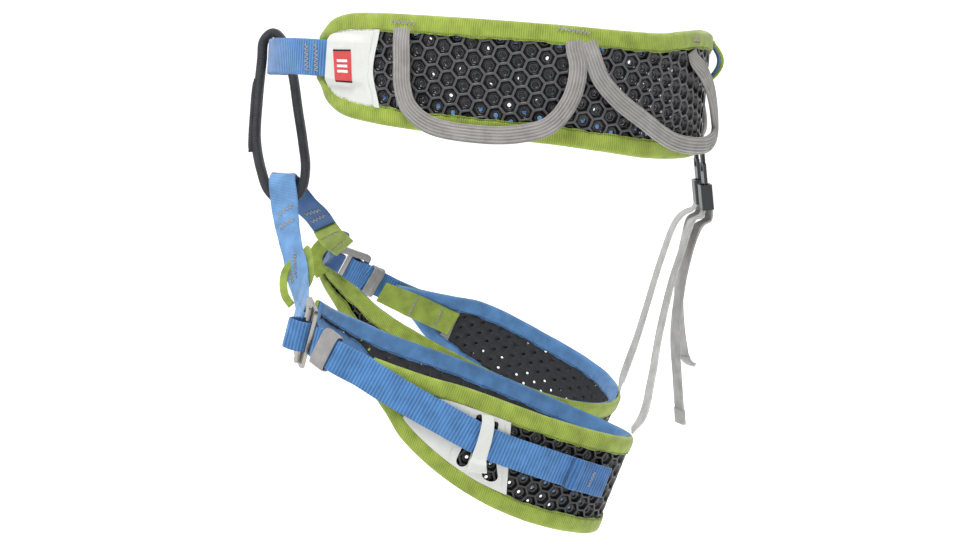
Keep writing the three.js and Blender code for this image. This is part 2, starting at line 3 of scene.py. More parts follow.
import bmesh
import bpy
import numpy as np
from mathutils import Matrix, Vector


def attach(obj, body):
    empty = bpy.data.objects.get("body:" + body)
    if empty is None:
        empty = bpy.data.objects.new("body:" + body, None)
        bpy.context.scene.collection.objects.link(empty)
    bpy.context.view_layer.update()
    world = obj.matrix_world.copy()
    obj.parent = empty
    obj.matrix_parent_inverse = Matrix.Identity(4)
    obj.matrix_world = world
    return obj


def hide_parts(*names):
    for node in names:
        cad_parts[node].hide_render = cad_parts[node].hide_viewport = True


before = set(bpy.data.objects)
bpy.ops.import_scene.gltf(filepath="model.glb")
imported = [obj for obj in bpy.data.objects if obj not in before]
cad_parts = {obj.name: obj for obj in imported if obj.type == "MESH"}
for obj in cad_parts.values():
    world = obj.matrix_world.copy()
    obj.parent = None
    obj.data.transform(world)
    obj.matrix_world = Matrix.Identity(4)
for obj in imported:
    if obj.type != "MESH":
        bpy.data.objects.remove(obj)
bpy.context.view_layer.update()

# The looks of a climbing harness. Lengths here are in millimetres in the frame of the CAD part,
# and become metres where a mesh is made. A place on a pad is a turn in degrees from the back, a
# height above the pad's middle line, and a distance out of the middle of its foam.

MM = 0.001

# ---------------------------------------------------------------- dimensions shared with the CAD

TAPE_WIDE = 12.5
OVER_TAPE = 3.8                    # the first free level above a binding tape

WAIST_RING = dict(centre=(0, -5.5, 1), length=321, width=236, egg=0.25, pitch=-4.5)
WAIST_END = 134
WAIST_END_BAND = 2.6
WAIST_TOP = [(0, 46), (20, 49), (30, 47.5), (45, 43.5), (75, 43.5), (105, 43), (120, 42),
             (126, 40), (130, 36), (132, 30.5), (134, 24)]
WAIST_BOTTOM = [(0, -36), (20, -38.5), (30, -40), (45, -40), (60, -37), (75, -34.5),
                (105, -33), (120, -30), (126, -26.5), (130, -19.5), (132, -11), (134, -5)]
BELT_HEIGHT = [(112, 9.5), (134, 9.5), (150, 8.5), (180, 6.1)]
WAIST_BUCKLE_TURN = -132
WAIST_KEEPER_TURN = -120.5

LEGS = {
    "left": dict(
        side=1,
        ring=dict(centre=(92, -13, -198.7), length=236, width=128, egg=-0.1, pitch=-21, roll=-1),
        top=[(-170, 11), (-160, 8), (-150, 5), (-135, 2), (-120, -1), (-90, -1), (-60, -1.5),
             (-30, 0), (0, 2), (60, 2.5), (90, 3.5), (105, 1), (124, -1)],
        buckle=dict(turn=155, swing=20, twist=11),
        keeper=dict(turn=140, out=6.5, swing=3), keeper_long=13, leaves=126,
        strap=[(30, -29.5), (44, -28.2), (61, -27), (75, -26.3), (84, -24.5), (94, -21),
               (107, -17), (122, -12.6), (138, -8.4), (156, -4.6)],
    ),
    "right": dict(
        side=-1,
        ring=dict(centre=(-92, -14.7, -194.2), length=257, width=143, egg=0.37, pitch=-23.8,
                  roll=6.6, yaw=-6),
        top=[(-170, 0), (-150, 3), (-135, 3), (-120, -1), (-90, -0.5), (0, 0.5), (60, -1.5),
             (90, 2), (105, -3), (120, -7), (124, -8)],
        buckle=dict(turn=147, swing=4, twist=0),
        keeper=dict(turn=133.3, out=2.4, swing=5), keeper_long=11, leaves=123,
        strap=[(30, -30), (60, -29), (83, -26), (103, -21), (117, -17.5), (135, -13),
               (147, -9)],
    ),
}
LEG_BOTTOM = [(-170, -8), (-160, -11), (-150, -16), (-135, -25), (-120, -38), (-105, -50),
              (-90, -58), (-60, -67), (-30, -69), (45, -70), (60, -69), (75, -65), (90, -57),
              (105, -44), (114, -31), (120, -24), (124, -21.5)]
LEG_OUTER_END = 124
LEG_INNER_END = -168
LEG_END_BAND = 3
LEG_STRAP_SEWN = 112
LEG_STRAP_TIP = 28
KEEPER_TRAVEL = 4

GEAR_LOOPS = {
    "front": [(109.4, 28.6, 6), (108.4, 12, 7.5), (107.6, -4, 9), (105.5, -17.5, 10.5),
              (100.3, -28, 11), (89, -31.5, 11), (79.8, -29, 11), (73.2, -21.7, 10.5),
              (68.8, -4.5, 9), (67.5, 16, 7.5), (68.4, 28.6, 6)],
    "rear": [(64.5, 28.6, 6), (61.8, 11, 7.5), (57, -2, 9), (50.5, -13, 10.5),
             (40.3, -26.5, 11), (30, -30, 11.5), (19.5, -28, 12), (12.5, -20, 11.5),
             (14, -6, 10), (19.5, 10, 8.5), (25, 21, 7), (28.5, 28.6, 6)],
}
BELAY_LINE = [(-164.9, 17.5), (-168.3, -11.4), (-170.2, -40.5), (-166.8, -62.5),
              (-161.5, -77.5), (-150, -86.5), (-138.5, -79), (-134.4, -62.5), (-136, -42),
              (-139.2, -18.7), (-142.5, 6.6), (-147.3, 27.2), (-156, 37.2), (-163, 31.5)]
APEX = (0, -150.5, -66)
RISERS = {
    "left": [(5, -150.6, -66.4), (9.6, -150.5, -70), (11.2, -149.5, -78), (13.6, -148.4, -87),
             (19, -146.6, -97.5), (26, -144, -108), (35, -140.5, -119), (46, -136.5, -130),
             (60, -132, -143)],
    "right": [(-5, -150.4, -66.4), (-9.8, -149.8, -70), (-12.5, -145.5, -78), (-17, -138.5, -88),
              (-27, -130, -98), (-40, -125, -108), (-56, -121.5, -117.4),
              (-72, -116.6, -125.2)],
}
REAR = {
    "left": dict(
        x=20, top=(154, -56),
        strap=[(21, 153, -94), (25, 147, -97), (31, 143, -104), (39, 138, -116), (52, 129, -139),
               (70, 119, -173), (82, 113, -201), (93, 106, -226)],
        tail=[(21, 157.5, -97), (24, 152, -100), (28, 147, -108), (32, 142, -123),
              (34, 138, -141), (36, 134, -178), (36, 136, -210), (34, 139, -244)]),
    "right": dict(
        x=-18, top=(154, -55),
        strap=[(-19, 152, -92), (-22, 146, -96), (-28, 140, -104), (-42, 131, -134),
               (-54, 123, -167), (-66, 115, -200), (-82, 106, -233)],
        tail=[(-19, 157, -95), (-17, 151, -99), (-15, 147, -112), (-14, 143, -135),
              (-14, 142, -162), (-14, 145, -192), (-14, 149, -207), (-13, 155, -210)]),
}

# ---------------------------------------------------------------- dimensions of the looks alone

# The tie-in webbing starts 7 degrees further back than in the CAD, under the end cloth.
TIE_IN_OUT = [(124.5, 3.9), (128, 4.4), (131.6, 5), (140, 5), (152, 1.5), (166, -4.2),
              (180, -6.7), (194, -4.2), (208, 2.5)]
TIE_IN_TURNS = (124.5, 128, 131.6, 136, 142, 150, 158, 166, 174, 182, 190, 198, 205)
BRIDGE_WIDE = (19, 19.5, 20, 20, 19, 18, 18, 22, 22)    # up to 4 mm narrower than in the CAD
WAIST_WEBBING = 25
LEG_WEBBING = 21
WAIST_FOAM = dict(pitch=11.0, turn_by=12.0, hole=1.6, rib="foam_ribs_painted_light")
LEG_FOAM = dict(pitch=9.6, turn_by=4.0, hole=1.15, rib="foam_leg_ribs_painted_shade")
CLOTH_STEP = 0.8                   # the size of a cloth patch's mesh
WELD_REACH = 0.01
LABEL_CORNERS = ((127.5, 15.8), (122.3, 16.7), (121.4, -5.5), (126.2, -5.8))
PATCH_REAR_EDGE = [(-30, 113.2), (-18.4, 114.2), (4.1, 116.4), (29, 115.4)]
GEAR_TACKS = (((112.2, 37.6), (106.1, 36.8)), ((72.9, 41.2), (65.0, 39.7)),
              ((29.8, 41.5), (25.4, 41.5)))
LEG_PATCH_EDGE = [(-60, 66.2), (-55.7, 66.9), (-6.3, 74.8), (0, 75.6)]
LEG_SLOTS = (((84.5, -12), (84.7, -42.8), (2.2, 3.9)), ((79, -12.8), (75.4, -45.6), (2, 4.4)))
LEG_SEAMS = (((76.6, -7.5), (69, -54.6)), ((88.5, -8.1), (89.2, -40.4), (88.9, -47.1)))
LEG_TAB_TURNS = (98, 104, 110, 116, 122, 130)
# (turn, height, out, width) along the band that the leg strap runs under.
GUIDE = [(82.4, -8.6, 3.3, 8.5), (82.1, -10.5, 5.2, 8.5), (81.8, -13, 8.2, 8.6),
         (81.0, -24, 9, 9.2), (80.6, -36, 8.6, 10), (80.0, -41, 4.8, 12),
         (79.2, -47, 3.6, 14)]
RISER_ROWS = {                     # rows of stitches, near riser first, from one place to another
    True: [((25, -154.2, -95.1), (25, -139.4, -87.4)),
           ((25, -154.4, -104.2), (25, -139.6, -97.6)),
           ((40, -138.2, -120.3), (40, -135.9, -135.4)),
           ((40, -143.9, -130.3), (40, -141.1, -138.4))],
    False: [((-25, -138, -97.7), (-25, -125.9, -90.4)),
            ((-25, -137.6, -105.6), (-25, -121.7, -95.6))],
}
RISER_TABS = (                     # (z, across the riser, width) along each tab
    ("left", [(-121, 6, 13), (-124, 7, 15), (-129, 7.5, 16), (-137, 7, 16), (-143, -2, 14),
              (-149, -7, 13), (-152, -7.5, 10)]),
    ("right", [(-107, 0, 18), (-111, 0, 19), (-116, 0, 19), (-121, 0, 19)]),
)
FOLDS = (("near", 5.5, [(38, -140.5, -126), (44, -144.5, -131), (52, -145.5, -139),
                        (59, -143.5, -147), (64, -138.7, -153)]),
         ("far", 11, [(-70, -122, -118), (-73, -129, -125), (-76, -135, -133),
                      (-78, -135.6, -142), (-80, -131, -150)]))
CAMERA_PLACE = (1.230, 0, 0.020)   # metres
CAMERA_AIM = (0, 0, -0.140)
CAMERA_LENS = 61.8405
LIGHTS_AIM = (0, 0, -0.1)
LIGHTS = (                         # name, place in metres, size, watts
    ("key", (0.75, -0.4, 1.5), 0.75, 33),
    ("fill", (1.7, 1.0, 0.3), 1.4, 5),
    ("back", (-1.2, 0.3, 1.4), 1.5, 9),
)
FLOOR_LEVEL = -0.62

# ---------------------------------------------------------------- geometry


def unit(v):
    v = np.asarray(v, float)
    return v / np.maximum(np.linalg.norm(v, axis=-1, keepdims=True), 1e-12)


def distances(points):
    """How far along a line of points each point lies."""
    return np.concatenate([[0], np.cumsum(np.linalg.norm(np.diff(points, axis=0), axis=1))])


def smooth(table):
    """A smooth curve through (place, value) pairs."""
    xs, ys = np.array(table, float).T
    last = len(xs) - 1
    lo = np.maximum(np.arange(last + 1) - 1, 0)
    hi = np.minimum(np.arange(last + 1) + 1, last)
    slopes = (ys[hi] - ys[lo]) / (xs[hi] - xs[lo])

    def curve(place):
        x = np.clip(np.asarray(place, float), xs[0], xs[-1])
        i = np.clip(np.searchsorted(xs, x) - 1, 0, last - 1)
        span = xs[i + 1] - xs[i]
        u = (x - xs[i]) / span
        v = 1 - u
        return (ys[i] * v * v * (1 + 2 * u) + slopes[i] * span * u * v * v
                + ys[i + 1] * u * u * (3 - 2 * u) - slopes[i + 1] * span * u * u * v)
    return curve


def rotation(axis, degrees):
    c, s = math.cos(math.radians(degrees)), math.sin(math.radians(degrees))
    if axis == "x":
        return np.array([[1, 0, 0], [0, c, -s], [0, s, c]])
    if axis == "y":
        return np.array([[c, 0, s], [0, 1, 0], [-s, 0, c]])
    return np.array([[c, -s, 0], [s, c, 0], [0, 0, 1]])


class Ring:
    """The egg-shaped line that a pad lies along. Turns are degrees from the back."""

    def __init__(self, centre, length, width, egg, pitch, roll=0, yaw=0, side=1):
        self.half = (width / 2, length / 2)
        self.egg = egg
        self.side = side
        self.matrix = rotation("z", yaw) @ rotation("x", pitch) @ rotation("y", roll)
        self.centre = np.array(centre, float)
        self.up = self.matrix @ np.array([0, 0, 1.0])

    def slope(self, turn):
        t = np.radians(np.asarray(turn, float))
        dx = self.half[0] * (np.cos(t) * (1 + self.egg * np.cos(t)) - self.egg * np.sin(t) ** 2)
        return unit(np.stack([self.side * dx, -self.half[1] * np.sin(t), 0 * t], -1))

    def tangent(self, turn):
        return self.slope(turn) @ self.matrix.T

    def normal(self, turn):
        s = self.slope(turn)
        flat = np.stack([-s[..., 1], s[..., 0], 0 * s[..., 0]], -1) * self.side
        return flat @ self.matrix.T

    def point(self, turn, height=0.0, out=0.0):
        turn, height, out = np.broadcast_arrays(
            *[np.asarray(v, float) for v in (turn, height, out)])
        t = np.radians(turn)
        x = self.side * self.half[0] * np.sin(t) * (1 + self.egg * np.cos(t))
        base = np.stack([x, self.half[1] * np.cos(t), 0 * t], -1) @ self.matrix.T
        return (base + self.centre + height[..., None] * self.up
                + out[..., None] * self.normal(turn))

    def measure(self, first, last):
        """Functions from turn to distance along the ring and back."""
        turns = np.linspace(first, last, 1200)
        far = distances(self.point(turns))
        return (lambda t: np.interp(t, turns, far)), (lambda s: np.interp(s, far, turns))


def catmull(a, b, c, d, t):
    """Centripetal Catmull-Rom between b and c."""
    gap = [max(np.linalg.norm(q - p) ** 0.5, 1e-6) for p, q in ((a, b), (b, c), (c, d))]
    out = (b - a) / gap[0] - (c - a) / (gap[0] + gap[1]) + (c - b) / gap[1]
    into = (c - b) / gap[1] - (d - b) / (gap[1] + gap[2]) + (d - c) / gap[2]
    out, into = out * gap[1], into * gap[1]
    t = t[:, None]
    return (b + out * t + (-3 * b + 3 * c - 2 * out - into) * t ** 2
            + (2 * b - 2 * c + out + into) * t ** 3)


class Path:
    """A smooth run of webbing: its middle line, and the direction of its width."""

    def __init__(self, points, across, wide, closed=False, step=1.4):
        points = np.array(points, float)
        count = len(points)
        across = unit(np.broadcast_to(np.array(across, float), (count, 3)))
        wide = np.broadcast_to(np.array(wide, float), (count,))
        parts = count if closed else count - 1
        mid, acr, wid = [], [], []
        for i in range(parts):
            b, c = points[i], points[(i + 1) % count]
            a = points[i - 1] if (i or closed) else 2 * b - c
            d = points[(i + 2) % count] if (closed or i + 2 < count) else 2 * c - b
            m = max(2, int(math.ceil(np.linalg.norm(c - b) / step)))
            t = np.arange(m + (1 if i == parts - 1 else 0)) / m
            mid.append(catmull(a, b, c, d, t))
            ease = (t * t * (3 - 2 * t))[:, None]
            acr.append(across[i] * (1 - ease) + across[(i + 1) % count] * ease)
            wid.append(wide[i] * (1 - ease[:, 0]) + wide[(i + 1) % count] * ease[:, 0])
        self.mid = np.concatenate(mid)
        self.wide = np.concatenate(wid)
        acr = np.concatenate(acr)
        along = np.gradient(self.mid, axis=0)
        if closed:
            along[0] = along[-1] = self.mid[1] - self.mid[-2]
        along = unit(along)
        self.face = unit(np.cross(along, acr))
        self.width = np.cross(self.face, along)
        if closed:
            self.face[-1], self.width[-1] = self.face[0], self.width[0]
        self.arc = distances(self.mid)
        self.long = self.arc[-1]

    def at(self, s, v=0.0, w=0.0):
        """Points at distance s along, v across and w out of the face."""
        s, v, w = np.broadcast_arrays(*[np.asarray(q, float) for q in (s, v, w)])
        pick = [np.stack([np.interp(s, self.arc, grid[:, k]) for k in range(3)], -1)
                for grid in (self.mid, self.width, self.face)]
        return pick[0] + v[..., None] * pick[1] + w[..., None] * pick[2]

    def nearest(self, point):
        """The distance along at which the path comes closest to a point."""
        return self.arc[int(np.argmin(np.linalg.norm(self.mid - point, axis=1)))]


# ---------------------------------------------------------------- meshes


def mesh(name, verts, faces, material, body, stands_for=(), uv=None, second=None,
         third=None, kinds=None):
    """A mesh object from points in millimetres, riding on a body."""
    data = bpy.data.meshes.new(name)
    verts = np.asarray(verts, float).reshape(-1, 3) * MM
    data.from_pydata(verts.tolist(), [], [tuple(int(i) for i in f) for f in faces])
    for m in (material, second, third):
        if m is not None:
            data.materials.append(m)
    data.polygons.foreach_set("use_smooth", [True] * len(data.polygons))
    if kinds is not None:
        data.polygons.foreach_set("material_index", np.asarray(kinds, np.int32))
    if uv is not None:
        layer = data.uv_layers.new(name="mm")
        index = np.zeros(len(data.loops), np.int32)
        data.loops.foreach_get("vertex_index", index)
        layer.data.foreach_set("uv", (np.asarray(uv, float).reshape(-1, 2)[index] * MM).ravel())
    data.update()
    obj = bpy.data.objects.new(name, data)
    bpy.context.scene.collection.objects.link(obj)
    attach(obj, body)
    if stands_for:
        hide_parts(*stands_for)
    return obj


def grid_faces(rows, cols, start=0):
    i = np.arange(rows - 1)[:, None] * cols + np.arange(cols - 1)[None, :] + start
    return np.stack([i, i + 1, i + cols + 1, i + cols], -1).reshape(-1, 4)


def section(wide, thick, flats):
    """A strap's section as (across, out) points, round at its edges, without a repeated end."""
    r = thick / 2
    side = np.linspace(-90, 90, 6)
    right = [(wide / 2 - r + r * math.cos(math.radians(a)), thick / 2 * math.sin(math.radians(a)))
             for a in side]
    top = [(x, thick / 2) for x in np.linspace(wide / 2 - r, -wide / 2 + r, flats + 1)[1:-1]]
    left = [(-x, -y) for x, y in right]
    bottom = [(-x, -y) for x, y in top]
    return np.array(right + top + left + bottom)


def tape(name, path, thick, material, body, stands_for=(), shape=None, relief=None,
         flats=10, closed=False):
    """A strap along a path. relief(s, across, out) moves its surface outwards."""
    rows = []
    coords = []
    for i in range(len(path.mid)):
        ring = section(path.wide[i], thick, flats) if shape is None else shape(path, i)
        rows.append(ring)
        coords.append(np.stack([np.full(len(ring), path.arc[i]), ring[:, 0]], -1))
    rows = np.array(rows)
    coords = np.array(coords)
    if relief is not None:
        s = np.broadcast_to(path.arc[:, None], rows.shape[:2])
        move = relief(s, rows[..., 0], rows[..., 1])
        rows = rows + np.stack([0 * move, move * np.sign(rows[..., 1])], -1)
    points = (path.mid[:, None] + rows[..., :1] * path.width[:, None]
              + rows[..., 1:] * path.face[:, None])
    if closed:
        points[-1] = points[0]
    count, cols = points.shape[:2]
    points = np.concatenate([points, points[:, :1]], 1)
    coords = np.concatenate([coords, coords[:, :1]], 1)
    faces = [tuple(f) for f in grid_faces(count, cols + 1)]
    if not closed:
        faces.append(tuple(range(cols))[::-1])
        last = (count - 1) * (cols + 1)
        faces.append(tuple(range(last, last + cols)))
    obj = mesh(name, points, faces, material, body, stands_for, coords)
    weld(obj)
    return obj


def weld(obj):
    """Joins a mesh's own matching edges, so that it shades as one surface."""
    work = bmesh.new()
    work.from_mesh(obj.data)
    bmesh.ops.remove_doubles(work, verts=work.verts, dist=WELD_REACH * MM)
    work.to_mesh(obj.data)
    work.free()
    obj.data.update()


def skin(name, points, coords, material, body, stands_for=(), closed=False):
    """A curved sheet through a grid of points."""
    rows, cols = points.shape[:2]
    obj = mesh(name, points, grid_faces(rows, cols), material, body, stands_for, coords)
    if closed:
        weld(obj)
    return obj


# ---------------------------------------------------------------- threads

threads = {}


def thread(kind, body, points, thick=0.42):
    threads.setdefault((kind, body), []).append((np.asarray(points, float), thick))


def make_threads():
    """All stitching of one colour on one body becomes one mesh of thin round tubes."""
    for (kind, body), runs in threads.items():
        verts, faces = [], []
        base = 0
        for points, thick in runs:
            along = unit(np.gradient(points, axis=0))
            side = unit(np.cross(along, np.where(np.abs(along[:, 2:]) > 0.9,
                                                 [[1.0, 0, 0]], [[0, 0, 1.0]])))
            over = np.cross(along, side)
            angle = np.linspace(0, 2 * np.pi, 6)[:-1]
            ring = (points[:, None] + thick / 2 * (np.cos(angle)[None, :, None] * side[:, None]
                                                   + np.sin(angle)[None, :, None] * over[:, None]))
            verts.append(ring.reshape(-1, 3))
            rows = len(points)
            i = np.arange(rows - 1)[:, None] * 5 + np.arange(5)[None] + base
            j = np.arange(rows - 1)[:, None] * 5 + (np.arange(5)[None] + 1) % 5 + base
            faces.append(np.stack([i, j, j + 5, i + 5], -1).reshape(-1, 4))
            base += rows * 5
        mesh(f"stitching_{kind}_{body}", np.concatenate(verts), np.concatenate(faces),
             MATERIALS[f"thread_{kind}"], body)


def bartack(kind, body, place, start, end, wide, pitch=1.1, thick=0.7):
    """A dense zig-zag between two surface places. place(a, b) gives points."""
    start, end = np.array(start, float), np.array(end, float)
    way = end - start
    long = np.linalg.norm(way)
    way = way / long
    side = np.array([-way[1], way[0]])
    count = max(4, int(long / pitch))
    f = np.arange(count + 1) / count
    swing = np.where(np.arange(count + 1) % 2 == 0, 0.5, -0.5) * wide
    flat = start + f[:, None] * way * long + swing[:, None] * side
    fine = np.concatenate([np.linspace(flat[i], flat[i + 1], 5)[:-1] for i in range(count)])
    thread(kind, body, place(fine[:, 0], fine[:, 1]), thick)


def running(kind, body, line, stitch=2.4, gap=0.9, thick=0.4):
    """Separate stitches along a polyline of points."""
    arc = distances(line)
    s = 0.0
    while s + stitch < arc[-1]:
        t = np.linspace(s, s + stitch, 5)
        points = np.stack([np.interp(t, arc, line[:, k]) for k in range(3)], -1)
        thread(kind, body, points, thick)
        s += stitch + gap


# ---------------------------------------------------------------- materials

MATERIALS = {}


class Shade:
    """A small helper that builds a material's nodes."""

    def __init__(self, name, color, rough, metal=0.0, sheen=0.0, specular=0.5):
        self.material = bpy.data.materials.new(name)
        self.material.use_nodes = True
        self.tree = self.material.node_tree
        self.bsdf = self.tree.nodes["Principled BSDF"]
        self.set("Base Color", (*color, 1))
        self.set("Roughness", rough)
        self.set("Metallic", metal)
        self.set("Specular IOR Level", specular)
        self.set("Sheen Weight", sheen)
        self.set("Sheen Roughness", 0.4)
        self.material.diffuse_color = (*color, 1)
        MATERIALS[name] = self.material

    def set(self, socket, value):
        self.bsdf.inputs[socket].default_value = value

    def node(self, kind, **values):
        made = self.tree.nodes.new(kind)
        for key, value in values.items():
            setattr(made, key, value)
        return made

    def link(self, a, b):
        self.tree.links.new(a, b)

    def math(self, operation, a, b=0.0, c=0.0):
        made = self.node("ShaderNodeMath", operation=operation)
        for slot_, value in zip(made.inputs, (a, b, c)):
            if isinstance(value, (int, float)):
                slot_.default_value = value
            else:
                self.link(value, slot_)
        return made.outputs[0]

    def flat(self):
        """The two distances along and across a strap, in millimetres."""
        uv = self.node("ShaderNodeUVMap", uv_map="mm")
        split = self.node("ShaderNodeSeparateXYZ")
        self.link(uv.outputs[0], split.inputs[0])
        return (self.math("MULTIPLY", split.outputs[0], 1000.0),
                self.math("MULTIPLY", split.outputs[1], 1000.0))

    def wave(self, distance, pitch, phase=0.0):
        """A wave from 0 to 1 that repeats every pitch millimetres."""
        turned = self.math("MULTIPLY_ADD", distance, 2 * math.pi / pitch, phase)
        return self.math("MULTIPLY_ADD", self.math("SINE", turned), 0.5, 0.5)

    def noise(self, size, detail=3.0):
        """Noise with features of about size millimetres, from 0 to 1."""
        place = self.node("ShaderNodeTexCoord")
        made = self.node("ShaderNodeTexNoise")
        made.inputs["Scale"].default_value = 1000.0 / size
        made.inputs["Detail"].default_value = detail
        self.link(place.outputs["Object"], made.inputs["Vector"])
        return made.outputs["Fac"]

    def tint(self, amount, dark, light):
        """Base colour from a value between 0 and 1."""
        ramp = self.node("ShaderNodeValToRGB")
        ramp.color_ramp.elements[0].color = (*dark, 1)
        ramp.color_ramp.elements[1].color = (*light, 1)
        self.link(amount, ramp.inputs[0])
        self.link(ramp.outputs[0], self.bsdf.inputs["Base Color"])

    def bump(self, height, depth):
        made = self.node("ShaderNodeBump")
        made.inputs["Distance"].default_value = depth * MM
        self.link(height, made.inputs["Height"])
        self.link(made.outputs[0], self.bsdf.inputs["Normal"])


def scaled(color, factor):
    return tuple(min(1.0, c * factor) for c in color)


def linear(r, g, b):
    """Linear colour from sRGB values of 0 to 255."""
    def one(c):
        c = c / 255
        return c / 12.92 if c <= 0.04045 else ((c + 0.055) / 1.055) ** 2.4
    return (one(r), one(g), one(b))


def ribbed(name, color, pitch, depth, across=False, fine=0.75, rough=0.75, sheen=0.25,
           rib_shade=0.55, grain=0.35, phase=0.0, low=0.48, high=1.22):
    """Woven tape with ribs, running across the strap unless across is set."""
    s = Shade(name, color, rough, sheen=sheen, specular=0.3)
    u, v = s.flat()
    rib = s.wave(v if across else u, pitch, phase)
    weave = s.math("MULTIPLY", s.wave(u if across else v, fine), s.wave(v if across else u, fine))
    patch = s.noise(9.0)
    # The rib wave darkens the grooves and lightens the crests: painted shade and painted light.
    amount = s.math("MULTIPLY_ADD", rib, rib_shade, 0.5 - rib_shade / 2)
    amount = s.math("MULTIPLY_ADD", weave, grain * 0.4, amount)
    amount = s.math("MULTIPLY_ADD", s.math("SUBTRACT", patch, 0.5), 1.1, amount)
    s.tint(amount, scaled(color, low), scaled(color, high))
    s.bump(s.math("MULTIPLY_ADD", weave, 0.3, rib), depth)
    return s.material


def cloth(name, color, fine=0.8, depth=0.08, rough=0.85, sheen=0.2, low=0.8, high=1.12):
    """Plain woven cloth that needs no strap coordinates."""
    s = Shade(name, color, rough, sheen=sheen, specular=0.25)
    place = s.node("ShaderNodeTexCoord")
    split = s.node("ShaderNodeSeparateXYZ")
    s.link(place.outputs["Object"], split.inputs[0])
    waves = [s.wave(s.math("MULTIPLY", split.outputs[k], 1000.0), fine) for k in range(3)]
    weave = s.math("ADD", s.math("MULTIPLY", waves[0], waves[2]),
                   s.math("MULTIPLY", waves[1], waves[2]))
    amount = s.math("MULTIPLY_ADD", s.noise(7.0), 0.7, s.math("MULTIPLY_ADD", weave, 0.15, 0.05))
    s.tint(amount, scaled(color, low), scaled(color, high))
    s.bump(weave, depth)
    return s.material


GREEN = linear(149, 168, 70)
BLUE = linear(80, 131, 188)
GREY_TAPE = linear(147, 144, 141)
PATCH = linear(214, 215, 211)
ELASTIC = linear(186, 185, 183)
RED = linear(205, 74, 74)

ribbed("binding_green", GREEN, 1.5, 0.22, rough=0.8, sheen=0.3, rib_shade=0.45, grain=0.6)
ribbed("binding_blue", linear(88, 134, 184), 0.9, 0.14, rough=0.8, sheen=0.3, rib_shade=0.4,
       grain=0.6)
ribbed("webbing_blue", BLUE, 2.3, 0.36, rough=0.7, rib_shade=0.7)
ribbed("webbing_hem", linear(62, 112, 170), 2.3, 0.36, rough=0.7, rib_shade=0.7)
ribbed("bridge_blue", linear(112, 157, 207), 1.1, 0.16, rough=0.72, rib_shade=0.5, grain=0.6)
# The far riser's blue is the bridge blue darkened: painted shade for the riser facing away from the
# light.
ribbed("bridge_blue_painted_shade", linear(64, 100, 148), 1.1, 0.16, rough=0.72, rib_shade=0.5, grain=0.6)
ribbed("tab_green", GREEN, 1.2, 0.16, rough=0.8, rib_shade=0.4)
ribbed("cord_grey", GREY_TAPE, 2.0, 0.3, across=True, fine=0.8, rough=0.8, rib_shade=0.5,
       grain=1.0, phase=math.pi / 2, low=0.55, high=1.22)
ribbed("webbing_black", linear(50, 50, 53), 1.3, 0.2, fine=0.9, rough=0.75, sheen=0.15,
       rib_shade=0.6, grain=1.3, low=0.45, high=1.7)
ribbed("keeper_grey", linear(158, 156, 154), 0.9, 0.12, across=True, rough=0.85, rib_shade=0.45,
       grain=0.7)
ribbed("elastic_grey", ELASTIC, 0.9, 0.12, across=True, rough=0.85, rib_shade=0.45, grain=0.7)
cloth("patch_grey", PATCH, fine=0.9, depth=0.05, low=0.88, high=1.05)
ribbed("label_red", RED, 0.8, 0.05, rough=0.6, rib_shade=0.15, low=0.8, high=1.1)
cloth("label_white", linear(240, 240, 240))
cloth("label_black", linear(30, 30, 32))
# The green thread is darker than the green binding: painted shade for the seam's groove.
for colour, shade in (("grey", (176, 172, 160)), ("green", (122, 146, 62)),
                      ("blue", (66, 104, 152)), ("black", (46, 46, 50)),
                      ("white", (225, 225, 220))):
    cloth(f"thread_{colour}", linear(*shade), fine=0.5)
for name, shade, rough, size, detail, depth, more in (
        # Rib foam is the black foam lightened, painted light on the rib tops and hole lips; cup foam
        # is darkened, painted shade in the cups.
        ("foam_ribs_painted_light", (78, 78, 81), 0.34, 1.6, 4.0, 0.06, {}),
        # Leg rib foam is darker than the waist's rib foam: painted shade for the legs' foam lying in
        # shadow.
        ("foam_leg_ribs_painted_shade", (44, 44, 46), 0.38, 1.6, 4.0, 0.06, {}),
        ("foam_cups_painted_shade", (24, 24, 26), 0.24, 1.6, 4.0, 0.04, dict(specular=0.6)),
        ("lining_black", (39, 40, 43), 0.7, 0.9, 4.0, 0.06, dict(specular=0.35)),
        ("steel", (150, 147, 143), 0.24, 1.2, 5.0, 0.02, dict(metal=1.0)),
        ("plastic_black", (42, 43, 46), 0.36, 0.7, 3.0, 0.02, {})):
    grained = Shade(name, linear(*shade), rough, **more)
    grained.bump(grained.noise(size, detail), depth)

# ---------------------------------------------------------------- pads


